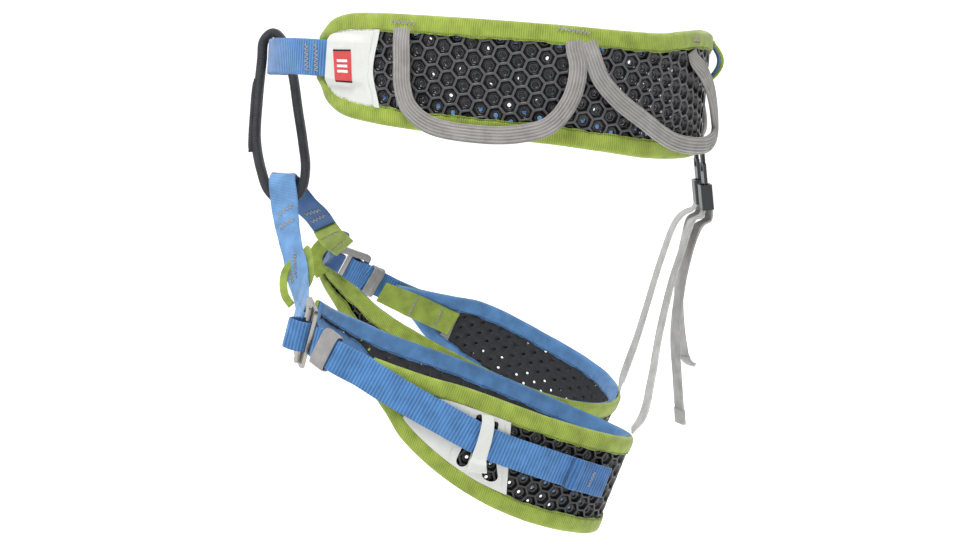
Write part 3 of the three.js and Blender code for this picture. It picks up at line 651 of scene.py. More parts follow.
def honeycomb(name, ring, first, last, top, bottom, body, node, pitch, turn_by, hole, rib):
    """Moulded foam: hexagonal cups on the outside, and a perforated lining on the inside."""
    to_far, to_turn = ring.measure(first, last)
    long = float(to_far(last))
    turn_by = math.radians(turn_by)
    step_a = pitch * np.array([math.sin(turn_by), math.cos(turn_by)])
    step_b = pitch * np.array([math.sin(turn_by + math.pi / 3), math.cos(turn_by + math.pi / 3)])
    reach = int(long / pitch) + 12
    i, j = np.meshgrid(np.arange(-reach, reach + 1), np.arange(-reach, reach + 1))
    cells = (i.reshape(-1, 1) * step_a + j.reshape(-1, 1) * step_b)
    cells = cells + np.array([long / 2, 0])
    cells = cells[(cells[:, 0] > 4) & (cells[:, 0] < long - 4)]
    turns = to_turn(cells[:, 0])
    mid = (top(turns) + bottom(turns)) / 2
    half = (top(turns) - bottom(turns)) / 2
    inside = np.abs(cells[:, 1] - mid) < half - 5.5
    cells = cells[inside]
    angle = np.arange(12) * math.pi / 6 - turn_by
    corner = pitch / math.sqrt(3)
    flat = pitch / 2
    hexagon = np.where(np.arange(12) % 2 == 0, flat, corner)
    levels = [
        (hexagon, 2.0), (hexagon * 0.9, 2.0), (hexagon * 0.85, 1.6), (hexagon * 0.78, 0.5),
        (np.full(12, 0.36 * pitch), -0.5), (np.full(12, 0.3 * pitch), -0.9),
        (np.full(12, 0.27 * pitch), -0.2), (np.full(12, 0.235 * pitch), -0.1),
        (np.full(12, hole), -0.8), (np.full(12, hole), -2.0), (hexagon, -2.0),
    ]
    verts = []
    for radius, out in levels:
        around = angle[None] + math.pi / 2
        s = cells[:, :1] + radius[None] * np.cos(around)
        h = cells[:, 1:] + radius[None] * np.sin(around)
        t = np.clip(to_turn(s), first + 1.2, last - 1.2)
        h = np.clip(h, bottom(t) + 2.5, top(t) - 2.5)
        verts.append(ring.point(t, h, np.full_like(s, out)))
    verts = np.stack(verts, 1)
    cells_n, rings_n = verts.shape[:2]
    start = np.arange(cells_n)[:, None, None] * rings_n * 12
    r = np.arange(rings_n - 1)[None, :, None] * 12
    k = np.arange(12)[None, None]
    k2 = (k + 1) % 12
    faces = np.stack([start + r + k, start + r + k2, start + r + 12 + k2, start + r + 12 + k], -1)
    faces = faces if ring.side > 0 else faces[..., ::-1]
    # The rib tops and the raised lip round each hole get the lighter rib colour as painted light.
    # The cup walls get the darker cup colour as painted shade, and the back face is the lining.
    kinds = np.zeros((cells_n, rings_n - 1, 12), int)
    kinds[:, 2:] = 2
    kinds[:, 6] = 0
    kinds[:, -1] = 1
    obj = mesh(name, verts.reshape(-1, 3), faces.reshape(-1, 4), MATERIALS[rib], body,
               (node,), second=MATERIALS["lining_black"],
               third=MATERIALS["foam_cups_painted_shade"], kinds=kinds.reshape(-1))
    return obj


TAPE_PROFILE = [  # (share of the way from edge to seam, level out of the foam's middle)
    (0.0, 0.15), (0.012, 0.9), (0.04, 1.75), (0.09, 2.5), (0.17, 3.05), (0.3, 3.4), (0.5, 3.5),
    (0.68, 3.42), (0.8, 3.3), (0.88, 3.1), (0.915, 2.55), (0.93, 2.5), (0.945, 2.6), (0.97, 3.0),
    (1.0, 2.75), (1.0, 2.0),
]


def tape_frame(name, ring, first, last, band, top, bottom, side, body, node, seed):
    """A binding tape round a pad's edge, puckered along its seam."""
    to_far, to_turn = ring.measure(first, last)
    long = float(to_far(last))
    count = int(long / 1.3)
    turns = to_turn(np.linspace(0, long, count))
    end_n = 14
    edge, seam = [], []

    def seam_height(t, sign):
        middle = (top(t) + bottom(t)) / 2
        tall = top(t) - bottom(t)
        return middle + sign * np.maximum(tall / 2 - TAPE_WIDE, 1)

    def run(turn_list, heights, sign):
        clamped = np.clip(turn_list, first + band, last - band)
        edge.append(np.stack([turn_list, heights(turn_list)], -1))
        seam.append(np.stack([clamped, seam_height(clamped, sign)], -1))

    def across_end(turn, inner, up_to_down):
        f = np.linspace(0, 1, end_n + 2)[1:-1]
        high, low = top(turn), bottom(turn)
        s_high, s_low = seam_height(inner, 1), seam_height(inner, -1)
        if not up_to_down:
            f = 1 - f
        edge.append(np.stack([np.full(end_n, turn), high + (low - high) * f], -1))
        seam.append(np.stack([np.full(end_n, inner), s_high + (s_low - s_high) * f], -1))

    run(turns, top, 1)
    across_end(last, last - band, True)
    run(turns[::-1], bottom, -1)
    across_end(first, first + band, False)
    edge, seam = np.concatenate(edge), np.concatenate(seam)
    edge = np.concatenate([edge, edge[:1]])
    seam = np.concatenate([seam, seam[:1]])
    far = np.stack([to_far(edge[:, 0]), edge[:, 1]], -1)
    arc = distances(far)
    noise = np.random.default_rng(seed)
    phase = noise.uniform(0, 6.28, 6)
    pucker = sum(np.sin(arc / arc[-1] * 2 * np.pi * round(arc[-1] / p) + phase[q])
                 for q, p in enumerate((7.3, 11.7, 17.9)))
    slow = sum(np.sin(arc / arc[-1] * 2 * np.pi * round(arc[-1] / p) + phase[3 + q])
               for q, p in enumerate((26.0, 61.0)))
    share = np.array([p[0] for p in TAPE_PROFILE])
    level = np.array([p[1] for p in TAPE_PROFILE])
    turn_grid = edge[:, :1] + share * (seam[:, :1] - edge[:, :1])
    height_grid = edge[:, 1:] + share * (seam[:, 1:] - edge[:, 1:])
    near_seam = np.exp(-((share - 0.8) / 0.16) ** 2)
    near_edge = np.exp(-((share - 0.1) / 0.2) ** 2)
    out = level + 0.22 * pucker[:, None] * near_seam + 0.24 * slow[:, None] * near_edge
    height_grid = height_grid + (0.16 * pucker + 0.3 * slow)[:, None] * (share > 0.9)[None]
    points = ring.point(turn_grid, height_grid, side * out)
    coords = np.stack([np.broadcast_to(arc[:, None], out.shape),
                       np.broadcast_to(share * TAPE_WIDE, out.shape)], -1)
    colour = "green" if side > 0 else "blue"
    skin(name, points, coords, MATERIALS[f"binding_{colour}"], body, (node,), closed=True)
    at = 0.93
    line = ring.point(edge[:, 0] + at * (seam[:, 0] - edge[:, 0]),
                      edge[:, 1] + at * (seam[:, 1] - edge[:, 1]), side * 2.75)
    running(colour, body, line, thick=0.7)


def pad(prefix, body, ring, first, last, band, top, bottom, foam):
    honeycomb(f"{prefix}_pad", ring, first, last, top, bottom, body, f"{prefix}_foam", **foam)
    for side, word, slot, seed in ((1, "outer", "green_binding", 3),
                                   (-1, "inner", "blue_binding", 4)):
        tape_frame(f"{prefix}_{word}_tape", ring, first, last, band, top, bottom, side, body,
                   f"{prefix}_binding_{word}", seed + len(prefix))


def patch(name, ring, first, last, top, bottom, out, material, body, node, slot, holes=(),
          warp=None):
    """A piece of cloth on a pad. holes are signed distances; warp(turn, height) moves turns."""
    to_far, to_turn = ring.measure(first - 5, last + 5)
    s0, s1 = float(to_far(first)), float(to_far(last))
    cols = int((s1 - s0) / CLOTH_STEP) + 2
    s = np.linspace(s0, s1, cols)
    rows = int(np.max(top(to_turn(s)) - bottom(to_turn(s))) / CLOTH_STEP) + 2
    f = np.linspace(0, 1, rows)
    t = to_turn(s)
    tt = np.broadcast_to(t[:, None], (cols, rows)).copy()
    hh = bottom(t)[:, None] + (top(t) - bottom(t))[:, None] * f
    ss = np.broadcast_to(s[:, None], (cols, rows)).copy()
    keep = np.ones((cols, rows), bool)
    for hole in holes:
        gap = hole(tt, hh)
        e = 0.05
        ds = (hole(to_turn(ss + e), hh) - gap) / e
        dh = (hole(tt, hh + e) - gap) / e
        near = np.abs(gap) < CLOTH_STEP * 0.75
        size = np.maximum(ds ** 2 + dh ** 2, 1e-6)
        ss = np.where(near, ss - gap * ds / size, ss)
        hh = np.where(near, hh - gap * dh / size, hh)
        tt = to_turn(ss)
        keep &= (gap > 0) | near
    if warp is not None:
        tt = warp(tt, hh)
    level = out(tt, hh) if callable(out) else np.full(tt.shape, float(out))
    points = ring.point(tt, hh, level)
    quads = grid_faces(cols, rows)
    flat_keep = keep.reshape(-1)
    quads = [q for q in quads if flat_keep[q].all()]
    mesh(name, points, quads, MATERIALS[material], body, (node,), np.stack([ss, hh], -1))


# ---------------------------------------------------------------- straps and buckles


class Place:
    """A strap buckle's own frame: x along the strap to the pad, y up, z outwards."""

    def __init__(self, ring, turn, height_at, out, swing=0, twist=0):
        step = -1 if turn > 0 else 1
        ahead = ring.point(turn + step, height_at(turn + step), out)
        behind = ring.point(turn - step, height_at(turn - step), out)
        x = unit(ahead - behind)
        x = unit(x + ring.normal(turn) * math.tan(math.radians(swing)))
        y = unit(np.cross(ring.normal(turn), x))
        y = y * math.cos(math.radians(twist)) + np.cross(x, y) * math.sin(math.radians(twist))
        z = np.cross(x, y)
        self.x, self.z = x, z
        self.y = -y if y @ ring.up < 0 else y
        self.origin = ring.point(turn, height_at(turn), out)

    def at(self, x, y, z):
        return self.origin + x * self.x + y * self.y + z * self.z


SEWN = [(-34, 2.2), (-24, 2.2), (-13.4, 2.2), (-9.6, 3), (-8.2, 5.3), (-9.6, 7.6), (-13, 8.3),
        (-18, 8.3)]
TURNED = [(15, 1), (6, 1), (1.2, 2), (0, 5), (0, 9), (1.6, 12.2), (5, 13.4), (9.2, 12.2),
          (10.2, 8.8), (10.2, 6.3), (10.2, 4.4), (11.2, 3), (15.5, 2.7)]


def keeper(name, place, strap_wide, long, body, node, split=False):
    """An elastic sleeve round both layers of a strap."""
    half = strap_wide / 2 + 1.5
    corners = [(-1.3, -half + 2), (-1.3, 0), (-1.3, half - 2), (-0.3, half), (2.1, half + 0.4),
               (4.6, half), (5.6, half - 2), (5.9, 0), (5.6, -half + 2), (4.6, -half),
               (2.1, -half - 0.4), (-0.3, -half)]
    path = Path([place.at(0, y, z) for z, y in corners], place.x, long, closed=True, step=1.0)

    def relief(s, v, w):
        lines = 0.12 * np.cos(v * 2 * np.pi / 1.8)
        return lines - (0.5 * np.exp(-(v / 0.5) ** 2) if split else 0)
    tape(name, path, 1.25, MATERIALS["keeper_grey"], body, (node,), relief=relief,
         flats=24, closed=True)


def polish(node, material, bevel=0.35):
    """A CAD piece that stays: its material, and a softened edge."""
    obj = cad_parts[node]
    obj.data.materials.clear()
    obj.data.materials.append(MATERIALS[material])
    merge = obj.modifiers.new("weld", "WELD")
    merge.merge_threshold = 0.00002
    round_off = obj.modifiers.new("bevel", "BEVEL")
    round_off.width = bevel * MM
    round_off.segments = 3
    round_off.limit_method = "ANGLE"
    round_off.angle_limit = math.radians(35)
    round_off.harden_normals = True


# ---------------------------------------------------------------- the waist belt

waist_ring = Ring(**WAIST_RING)
waist_top_curve, waist_bottom_curve = smooth(WAIST_TOP), smooth(WAIST_BOTTOM)


def waist_top(turn):
    return waist_top_curve(np.abs(turn))


def waist_bottom(turn):
    return waist_bottom_curve(np.abs(turn))


belt_curve = smooth(BELT_HEIGHT)


def belt_height(turn):
    return belt_curve(np.abs(turn))


pad("waist", "waist", waist_ring, -WAIST_END, WAIST_END, WAIST_END_BAND, waist_top, waist_bottom,
    WAIST_FOAM)


patch_rear = smooth(PATCH_REAR_EDGE)


def ease(value):
    value = np.clip(value, 0, 1)
    return value * value * (3 - 2 * value)


def patch_level(turn, height):
    """How far the end cloth stands out: it climbs over the end of the webbing."""
    turn = np.abs(turn)
    over = ease((18.5 - np.abs(height - 9)) / 6)
    hem = np.exp(-((turn - patch_rear(height) - 0.7) / 0.6) ** 2)
    return 3.0 + 0.45 * hem + 3.8 * ease((turn - 117) / 7) * over


def end_patches():
    rear_turn, front_turn, seam = 113.0, 129.6, 11.2
    for hand, sign in (("left", 1), ("right", -1)):
        def warp(t, h, sign=sign):
            share = (front_turn - np.abs(t)) / (front_turn - rear_turn)
            return sign * (np.abs(t) + (patch_rear(h) - rear_turn) * share)

        first, last = sorted((sign * rear_turn, sign * front_turn))
        patch(f"waist_end_cloth_{hand}", waist_ring, first, last,
              lambda t: waist_top(t) - seam, lambda t: waist_bottom(t) + seam, patch_level,
              "patch_grey", "waist", f"waist_end_patch_{hand}", "grey_cloth", warp=warp)
        h = np.linspace(waist_bottom(115) + 12, waist_top(115) - 12, 40)
        hem = patch_rear(h) + 1.5
        beside = [np.full(len(h), True)] if hand == "left" else [h < -7, h > 25]
        for part in beside:
            running("white", "waist", waist_ring.point(sign * hem[part], h[part], 3.3), 2.0, 0.8)


end_patches()


def label():
    a, b, c, d = np.array(LABEL_CORNERS)

    def sheet(name, across, down, lift, material, stands_for=()):
        u, v = np.meshgrid(across, down, indexing="ij")
        u, v = u[..., None], v[..., None]
        flat = (a * (1 - u) + b * u) * (1 - v) + (d * (1 - u) + c * u) * v
        level = patch_level(flat[..., 0], flat[..., 1]) + 0.35 + lift
        points = waist_ring.point(flat[..., 0], flat[..., 1], level)
        return skin(name, points, flat * np.array([2.4, 1]), MATERIALS[material], "waist",
                    stands_for)

    whole = np.linspace(0, 1, 24)
    sheet("label_cloth", whole, whole, 0.0, "label_red", ("waist_label",))
    sheet("label_edge_top", whole, (0.0, 0.025, 0.05), 0.06, "label_black")
    sheet("label_edge_bottom", whole, (0.95, 0.975, 1.0), 0.06, "label_black")
    for k, middle in enumerate((0.34, 0.5, 0.66)):
        sheet(f"label_stripe_{k}", np.linspace(0.2, 0.8, 14),
              np.linspace(middle - 0.04, middle + 0.04, 3), 0.08, "label_white")


label()

waist_place = Place(waist_ring, WAIST_BUCKLE_TURN, belt_height, OVER_TAPE)


def waist_webbing():
    inwards = smooth(TIE_IN_OUT)
    front = [waist_ring.point(t, belt_height(t), inwards(t)) for t in TIE_IN_TURNS]
    sewn = [waist_place.at(x, 0, z) for x, z in SEWN + [(-30, 8)]]
    across = [waist_ring.up] * len(front) + [waist_place.y] * len(sewn)
    path = Path(front + sewn, across, WAIST_WEBBING)
    tape("tie_in_strap", path, 2.4, MATERIALS["webbing_blue"], "waist", ("tie_in_webbing",),
         flats=14)
    flip = -1 if (path.at(30, 0, 5) - path.at(30))[1] > 0 else 1

    def on(s, v):
        return path.at(s, v, 1.35 * flip)
    for turn in (133.0, 136.6):
        s = path.nearest(waist_ring.point(turn, belt_height(turn), 5.0))
        bartack("grey", "waist", on, (s - 1.0, -9.5), (s + 1.0, 9.5), 3.4, pitch=1.3)

    start = [waist_ring.point(t, belt_height(t), 5.7) for t in (-113, -118.5, -124)]
    turned = [waist_place.at(x, 0, z) for x, z in TURNED]
    tail = [waist_ring.point(t, belt_height(t), 8) for t in (-124, -118, -112.6)]
    across = [waist_ring.up] * 3 + [waist_place.y] * len(turned) + [waist_ring.up] * 3
    strap = Path(start + turned + tail, across, WAIST_WEBBING)
    tape("waist_adjuster_strap", strap, 1.3, MATERIALS["webbing_blue"], "waist",
         ("waist_strap",), flats=14)
    for node in ("waist_buckle_frame", "waist_buckle_slider"):
        polish(node, "steel")
    keeper("waist_elastic_keeper",
           Place(waist_ring, WAIST_KEEPER_TURN, belt_height, OVER_TAPE + 1.5), WAIST_WEBBING, 10,
           "waist_keeper", "waist_keeper")


waist_webbing()


def gear_loops():
    for hand, sign in (("left", 1), ("right", -1)):
        for place, spots in GEAR_LOOPS.items():
            spots = list(spots)
            first, last = spots[0], spots[-1]
            ends = []
            for end, beside in ((first, spots[1]), (last, spots[-2])):
                lean = (end[0] - beside[0]) * 0.1
                ends.append([(end[0] + lean * 3, 34, 2.9), (end[0] + lean * 1.5, 31, 3.4),
                             (end[0], 28, 4.4)])
            spots = ends[0] + spots[1:-1] + ends[1][::-1]
            points = [waist_ring.point(sign * t, h, o) for t, h, o in spots]
            across = []
            for i, (t, h, o) in enumerate(spots):
                before = points[max(i - 1, 0)]
                after = points[min(i + 1, len(points) - 1)]
                across.append(np.cross(waist_ring.normal(sign * t), unit(after - before)))
            path = Path(points, across, 12, step=1.2)

            def shape(p, i):
                angle = np.linspace(0, 2 * np.pi, 85)[:-1]
                end = min(p.arc[i], p.long - p.arc[i])
                fat = 0.3 + 0.7 * float(ease((end - 3) / 12))
                x = 6 * np.sign(np.cos(angle)) * np.abs(np.cos(angle)) ** 0.85
                bulge = 2.3 * (1 - np.abs(x / 6) ** 2.6) ** (1 / 2.2)
                ribs = 0.38 * (np.abs(np.cos(np.pi * x / 2)) - 0.5) * (bulge > 0.4)
                return np.stack([x, np.sign(np.sin(angle)) * fat * (bulge + ribs)], -1)
            tape(f"gear_loop_cord_{hand}_{place}", path, 5, MATERIALS["cord_grey"],
                 f"gear_loop_{hand}_{place}", (f"gear_loop_{hand}_{place}",),
                 shape=shape)
        for (t0, h0), (t1, h1) in GEAR_TACKS:
            def on(a, b, sign=sign):
                return waist_ring.point(sign * a / 2.4, b, 3.75)
            bartack("grey", "waist", on, (t0 * 2.4, h0), (t1 * 2.4, h1), 3.0)


gear_loops()


def haul_loop():
    knots = [(43, 3.9), (41, 4.9), (37, 8.4), (31.5, 11.6), (26, 11.8), (20, 9), (15.5, 5),
             (14.5, 3)]
    points = [waist_ring.point(0, h, o) for h, o in knots]
    path = Path(points, waist_ring.tangent(0), 12, step=0.8)
    tape("haul_loop_outer", path, 2.4, MATERIALS["binding_green"], "waist", ("haul_loop",))
    inner = Path([p - waist_ring.normal(0) * 1.9 for p in points[1:-1]], waist_ring.tangent(0),
                 11.5, step=0.8)
    tape("haul_loop_inner", inner, 1.4, MATERIALS["binding_blue"], "waist", ())


haul_loop()

# ---------------------------------------------------------------- the belay loop


def belay_loop():
    points = [(0, y, z) for y, z in BELAY_LINE]
    path = Path(points, (1, 0, 0), 15, closed=True)

    def relief(s, v, w):
        return 0.1 * np.cos(v * 2 * np.pi / 2.1) * (np.abs(v) < 6.4)
    tape("belay_loop_webbing", path, 6, MATERIALS["webbing_black"], "belay_loop",
         ("belay_loop",), flats=22, relief=relief, closed=True)
    front = [(0, -168.9, 4), (0, -170.6, -6), (0, -171.9, -20), (0, -173.3, -36),
             (0, -173.9, -49)]
    lap = Path(front, (1, 0, 0), 14.4)
    tape("belay_loop_lap", lap, 2.6, MATERIALS["webbing_black"], "belay_loop", ())
    for v in (-4.6, 0, 4.6):
        def on(s, w, v=v):
            return lap.at(s, v + w, -1.45 if lap.face[0][1] > 0 else 1.45)
        bartack("black", "belay_loop", on, (3, 0), (lap.long - 3, 0), 1.8, pitch=0.9)


belay_loop()

# ---------------------------------------------------------------- legs


def slot_hole(centre_a, centre_b, radii, ring, to_far):
    """A long round-ended hole between two (turn, height) places, wider at one end."""
    a = np.array([float(to_far(centre_a[0])), centre_a[1]])
    b = np.array([float(to_far(centre_b[0])), centre_b[1]])

    def gap(t, h):
        p = np.stack([to_far(t), h], -1)
        along = b - a
        f = np.clip(((p - a) @ along) / (along @ along), 0, 1)
        radius = radii[0] + (radii[1] - radii[0]) * f
        return np.linalg.norm(p - (a + f[..., None] * along), axis=-1) - radius
    return gap


leg_place = {}
leg_parts = {}


def leg(hand):
    spec = LEGS[hand]
    side = spec["side"]
    ring = Ring(**spec["ring"], side=side)
    top, bottom, line = smooth(spec["top"]), smooth(LEG_BOTTOM), smooth(spec["strap"])
    prefix = f"leg_{hand}"
    pad(prefix, "legs", ring, LEG_INNER_END, LEG_OUTER_END, LEG_END_BAND, top, bottom,
        LEG_FOAM)
    to_far, _ = ring.measure(LEG_INNER_END, 130)
    holes = [slot_hole(*slot, ring, to_far) for slot in LEG_SLOTS]
    front_edge = smooth(LEG_PATCH_EDGE)

    def lean(t, h):
        return t + (front_edge(h) - 70.5) * np.clip((78 - t) / (78 - 70.5), 0, 1)

    seam = 11.3
    patch(f"{prefix}_cloth", ring, 70.5, 107, lambda t: top(t) - seam,
          lambda t: bottom(t) + seam, 3.1, "patch_grey", "legs", f"{prefix}_patch", "grey_cloth",
          holes, warp=lean)
    for seam_line in LEG_SEAMS:
        spots = np.array(seam_line)
        share = np.linspace(0, len(spots) - 1, 40)
        turns, heights = (np.interp(share, np.arange(len(spots)), spots[:, k]) for k in (0, 1))
        running("white", "legs", ring.point(turns, heights, 3.3), 2.2, 1.0)
    patch(f"{prefix}_lining_tape", ring, 97.5, 101, lambda t: top(t) - seam,
          lambda t: bottom(t) + seam, -3.0, "cord_grey", "legs", f"{prefix}_lining_strip",
          "grey_tape")
    tab = [ring.point(t, line(t) - 1.5, -OVER_TAPE - 0.8) for t in LEG_TAB_TURNS]
    tab_path = Path(tab, ring.up, [21, 21, 21, 21, 19.5, 18])
    tape(f"{prefix}_tab", tab_path, 1.7, MATERIALS["tab_green"], "legs", (f"{prefix}_inner_tab",),
         flats=14)
    for s in (tab_path.long * 0.2, tab_path.long * 0.55):
        def on(a, b):
            w = 1.0 if (tab_path.face[0] @ ring.normal(110)) < 0 else -1.0
            return tab_path.at(a, b, w)
        bartack("grey", "legs", on, (s, -9), (s + 1.5, 9), 2.0)

    place = Place(ring, spec["buckle"]["turn"], line, OVER_TAPE, spec["buckle"]["swing"],
                  spec["buckle"]["twist"])
    leg_place[hand] = place
    sleeve = Place(ring, spec["keeper"]["turn"], line, OVER_TAPE + spec["keeper"]["out"],
                   spec["keeper"]["swing"])
    front, back = 1 - spec["keeper_long"] / 2, spec["keeper_long"] / 2 + KEEPER_TRAVEL
    leaves = spec["leaves"]
    start = [ring.point(t, line(t), 4.8) for t in np.linspace(LEG_STRAP_SEWN, leaves, 4)]
    start += [sleeve.at(x, 0, 1) for x in (back, front)]
    swell = 0.38 if hand == "left" else 0.0
    turned = [place.at(x, 0, z + swell * max(z - 2 * abs(x - 5) + 2, 0)) for x, z in TURNED]
    turned_across = [sleeve.y] * 2 + [place.y] * len(turned) + [sleeve.y] * 2
    turned += [sleeve.at(x, 0, 2.8) for x in (front, back)]
    tail_turns = np.linspace(leaves, LEG_STRAP_TIP, 14)
    out = 5.6 + 1.5 * np.clip((tail_turns - 90) / 25, 0, 1)
    tail = [ring.point(t, line(t), o) for t, o in zip(tail_turns, out)]
    across = [ring.up] * 4 + turned_across + [ring.up] * 14
    path = Path(start + turned + tail, across, LEG_WEBBING)
    tape(f"{prefix}_adjuster_strap", path, 1.3, MATERIALS["webbing_blue"], "legs",
         (f"{prefix}_strap",), flats=14)
    hem_turns = np.linspace(LEG_STRAP_TIP + 18.6, LEG_STRAP_TIP - 0.4, 9)
    hem_out = np.array([7.4, 8.2, 8.1, 7.4, 7.2, 7.2, 7.2, 7.2, 7.0])
    hem = Path([ring.point(t, line(t), o) for t, o in zip(hem_turns, hem_out)], ring.up, 21.3)
    tape(f"{prefix}_strap_hem", hem, 1.5, MATERIALS["webbing_hem"], "legs", (),
         flats=14)
    roll = Path([ring.point(t, line(t), o)
                 for t, o in ((48.4, 8.2), (47.4, 8.9), (45.9, 9.2), (44.4, 8.6))], ring.up, 21.6)
    tape(f"{prefix}_strap_roll", roll, 3.4, MATERIALS["webbing_hem"], "legs", (),
         flats=14)
    mid = hem.long * 0.5
    lift = 0.85 if hem.face[0] @ ring.normal(38) > 0 else -0.85

    def on_hem(s, v):
        return hem.at(s, v, lift)
    bartack("grey", "legs", on_hem, (mid, -5.5), (mid, 5.5), 2.0)
    for node in (f"{prefix}_buckle_frame", f"{prefix}_buckle_slider"):
        polish(node, "steel")
    keeper(f"{prefix}_elastic_keeper", sleeve, LEG_WEBBING, spec["keeper_long"], f"{prefix}_keeper",
           f"{prefix}_keeper", split=hand == "right")
    band = Path([ring.point(t, h, o) for t, h, o, _ in GUIDE], ring.tangent(80),
                [g[3] for g in GUIDE])
    tape(f"{prefix}_guide", band, 0.9, MATERIALS["patch_grey"], "legs",
         (f"{prefix}_strap_guide",))
    leg_parts[hand] = (ring, top)


leg("left")
leg("right")


def bridge():
    knots = []
    for hand in ("left", "right"):
        place = leg_place[hand]
        down = RISERS[hand]
        sign = LEGS[hand]["side"]
        run = []
        for i, p in enumerate(down):
            twist = min(max((i - 2) / (len(down) - 2), 0), 1)
            a = np.array([0, 1, 0.1 * sign]) * (1 - twist) + place.y * twist
            run.append((np.array(p, float), a, BRIDGE_WIDE[i]))
        for x, z in SEWN[1:] + [(-29, 8)]:
            run.append((place.at(x, 0, z), place.y, LEG_WEBBING))
        knots.append(run)
    apex = (np.array(APEX, float), np.array([0, 1.0, 0]), BRIDGE_WIDE[0])
    chain = knots[0][::-1] + [apex] + knots[1]
    half = len(knots[0]) + 1
    # The far half of the bridge takes the darker blue as painted shade.
    for name, part, material, stands_for in (
            ("bridge_webbing", chain[:half], "bridge_blue", ("leg_bridge",)),
            ("bridge_webbing_far", chain[half - 1:], "bridge_blue_painted_shade", ())):
        tape(name, Path(*zip(*part)), 2.2, MATERIALS[material], "legs", stands_for,
             flats=14)
    return Path(*zip(*chain))


bridge_path = bridge()


def rear():
    for hand in ("left", "right"):
        spec = REAR[hand]
        ring, top = leg_parts[hand]
        for node in (f"rear_buckle_male_{hand}", f"rear_buckle_female_{hand}"):
            polish(node, "plastic_black", 0.5)
        x, (y, z) = spec["x"], spec["top"]
        strap = [(x + 0.3, y + 2.2, z - 29)] + list(spec["strap"])
        across = [unit((1, 0.2 * (i / len(strap)), 0)) for i in range(len(strap))]
        points = [np.array(p, float) for p in strap] + [ring.point(0.0, float(top(0)) + 3, 0.0)]
        across.append(ring.tangent(0) * ring.side)
        path = Path(points, across, 15)
        tape(f"rear_elastic_{hand}", path, 1.5, MATERIALS["elastic_grey"], "legs",
             (f"rear_strap_{hand}",))
        tail = Path([(x + 0.3, y + 4.2, z - 30)] + list(spec["tail"]), unit((0.9, 0.42, 0)), 12)
        hem = Path([tail.at(tail.long - far) for far in (11, 8, 4, 0)], unit((0.9, 0.42, 0)), 12.5)
        tape(f"rear_elastic_hem_{hand}", hem, 3.0, MATERIALS["elastic_grey"], "legs", ())
        tape(f"rear_elastic_tail_{hand}", tail, 1.4, MATERIALS["elastic_grey"], "legs",
             (f"rear_strap_tail_{hand}",))
        hang = Path([(x, y - 0.8, z + 9), (x, y - 0.4, z + 5), (x, y, z + 1), (x, y - 0.2, z - 2.6)],
                    (1, 0, 0), 13)
        tape(f"rear_hanger_web_{hand}", hang, 2.2, MATERIALS["webbing_black"], "waist",
             (f"rear_hanger_{hand}",))


rear()


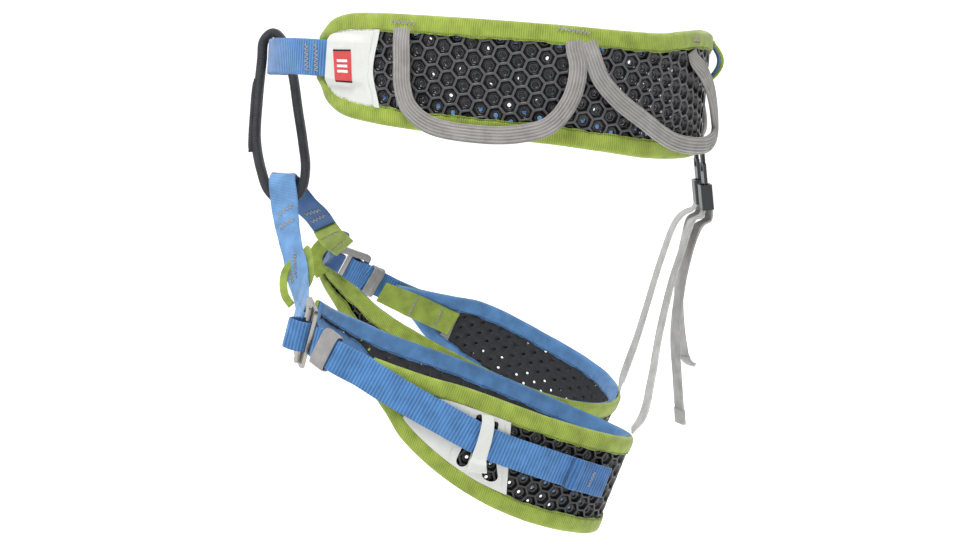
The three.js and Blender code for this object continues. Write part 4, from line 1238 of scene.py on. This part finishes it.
def riser_details():
    """Green tabs folded round the foot of each riser, and the rows of stitches above them."""
    path = bridge_path

    def locate(point, near_side):
        gap = np.linalg.norm((path.mid - point)[:, 1:], axis=1)
        gap = np.where((path.mid[:, 0] > 0) == near_side, gap, 1e3)
        i = int(np.argmin(gap))
        return path.arc[i], float((np.array(point) - path.mid[i])[1] / path.width[i][1])

    def toward(s, lift):
        side = np.sign((path.at(s, 0, 1) - path.at(s))[..., 0])
        return lift * side

    for near_side, pairs in RISER_ROWS.items():
        for first, last in pairs:
            (s0, v0), (s1, v1) = locate(first, near_side), locate(last, near_side)
            v0, v1 = np.clip((v0, v1), -6, 6.5)
            bartack("grey", "legs", lambda s, v: path.at(s, v, toward(s, 1.35)), (s0, v0), (s1, v1),
                    3.6, pitch=1.3)

    for hand, spots in RISER_TABS:
        near_side = hand == "left"
        points, across, wide = [], [], []
        for z, v, w in spots:
            gap = np.abs(path.mid[:, 2] - z) + 1e3 * ((path.mid[:, 0] > 0) != near_side)
            s = path.arc[int(np.argmin(gap))]
            wing = path.at(s, 1, 0) - path.at(s)
            wing = wing * np.sign(wing[1])
            lift = toward(s, -2.2 if near_side else 2.2)
            points.append(path.at(s, 0, lift) + wing * v)
            across.append(wing)
            wide.append(w)
        if not near_side:
            points.append(points[-1] + (points[-1] - points[-2]) * 1.2)
            across.append(across[-1])
            wide.append(18)
        tab = Path(points, across, wide)
        tape(f"leg_{hand}_riser_tab", tab, 1.5, MATERIALS["tab_green"], "legs",
             (f"leg_{hand}_front_tab",))
        if not near_side:
            for s in (tab.long * 0.3, tab.long * 0.75):
                for lift in (-0.95, 0.95):
                    bartack("grey", "legs", lambda a, b: tab.at(a, b, lift), (s, -7), (s, 7), 3.2,
                            pitch=1.3)

    for word, wide, spots in FOLDS:
        spots = np.array(spots, float)
        along = unit(np.gradient(spots, axis=0))
        fold = Path(spots, np.cross((1, 0, 0), along), wide)
        tape(f"fold_{word}", fold, 1.6, MATERIALS["tab_green"], "legs", ())


riser_details()
make_threads()

# ---------------------------------------------------------------- the studio


def light(name, place, size, power):
    data = bpy.data.lights.new(name, "AREA")
    data.shape = "RECTANGLE"
    data.size = data.size_y = size
    data.energy = power
    obj = bpy.data.objects.new(name, data)
    obj.location = place
    obj.rotation_euler = (Vector(LIGHTS_AIM) - Vector(place)).to_track_quat("-Z", "Y").to_euler()
    bpy.context.scene.collection.objects.link(obj)


def studio():
    scene = bpy.context.scene
    world = bpy.data.worlds.new("studio")
    world.use_nodes = True
    world.node_tree.nodes["Background"].inputs[0].default_value = (1, 1, 1, 1)
    world.node_tree.nodes["Background"].inputs[1].default_value = 0.24
    scene.world = world
    scene.view_settings.view_transform = "Standard"
    for lamp in LIGHTS:
        light(*lamp)

    white = Shade("floor_white", (0.9, 0.9, 0.9), 0.9, specular=0.1)
    white.set("Emission Color", (1, 1, 1, 1))
    white.set("Emission Strength", 0.55)
    data = bpy.data.meshes.new("floor")
    verts, count = [], 14
    bend = [(-2.0 - 1.2 * math.sin(a), FLOOR_LEVEL + 1.2 - 1.2 * math.cos(a))
            for a in np.linspace(0, math.pi / 2, count)]
    profile = [(40, FLOOR_LEVEL)] + bend + [(-3.2, 12)]
    for x, h in profile:
        verts += [(x, -30, h), (x, 30, h)]
    faces = [(2 * k, 2 * k + 1, 2 * k + 3, 2 * k + 2) for k in range(len(profile) - 1)]
    data.from_pydata(verts, [], faces)
    data.materials.append(white.material)
    obj = bpy.data.objects.new("floor", data)
    scene.collection.objects.link(obj)

    data = bpy.data.cameras.new("camera")
    data.sensor_width = 36
    data.lens = CAMERA_LENS
    camera = bpy.data.objects.new("camera", data)
    camera.location = CAMERA_PLACE
    aim = Vector(CAMERA_AIM) - camera.location
    camera.rotation_euler = aim.to_track_quat("-Z", "Y").to_euler()
    scene.collection.objects.link(camera)
    scene.camera = camera


studio()
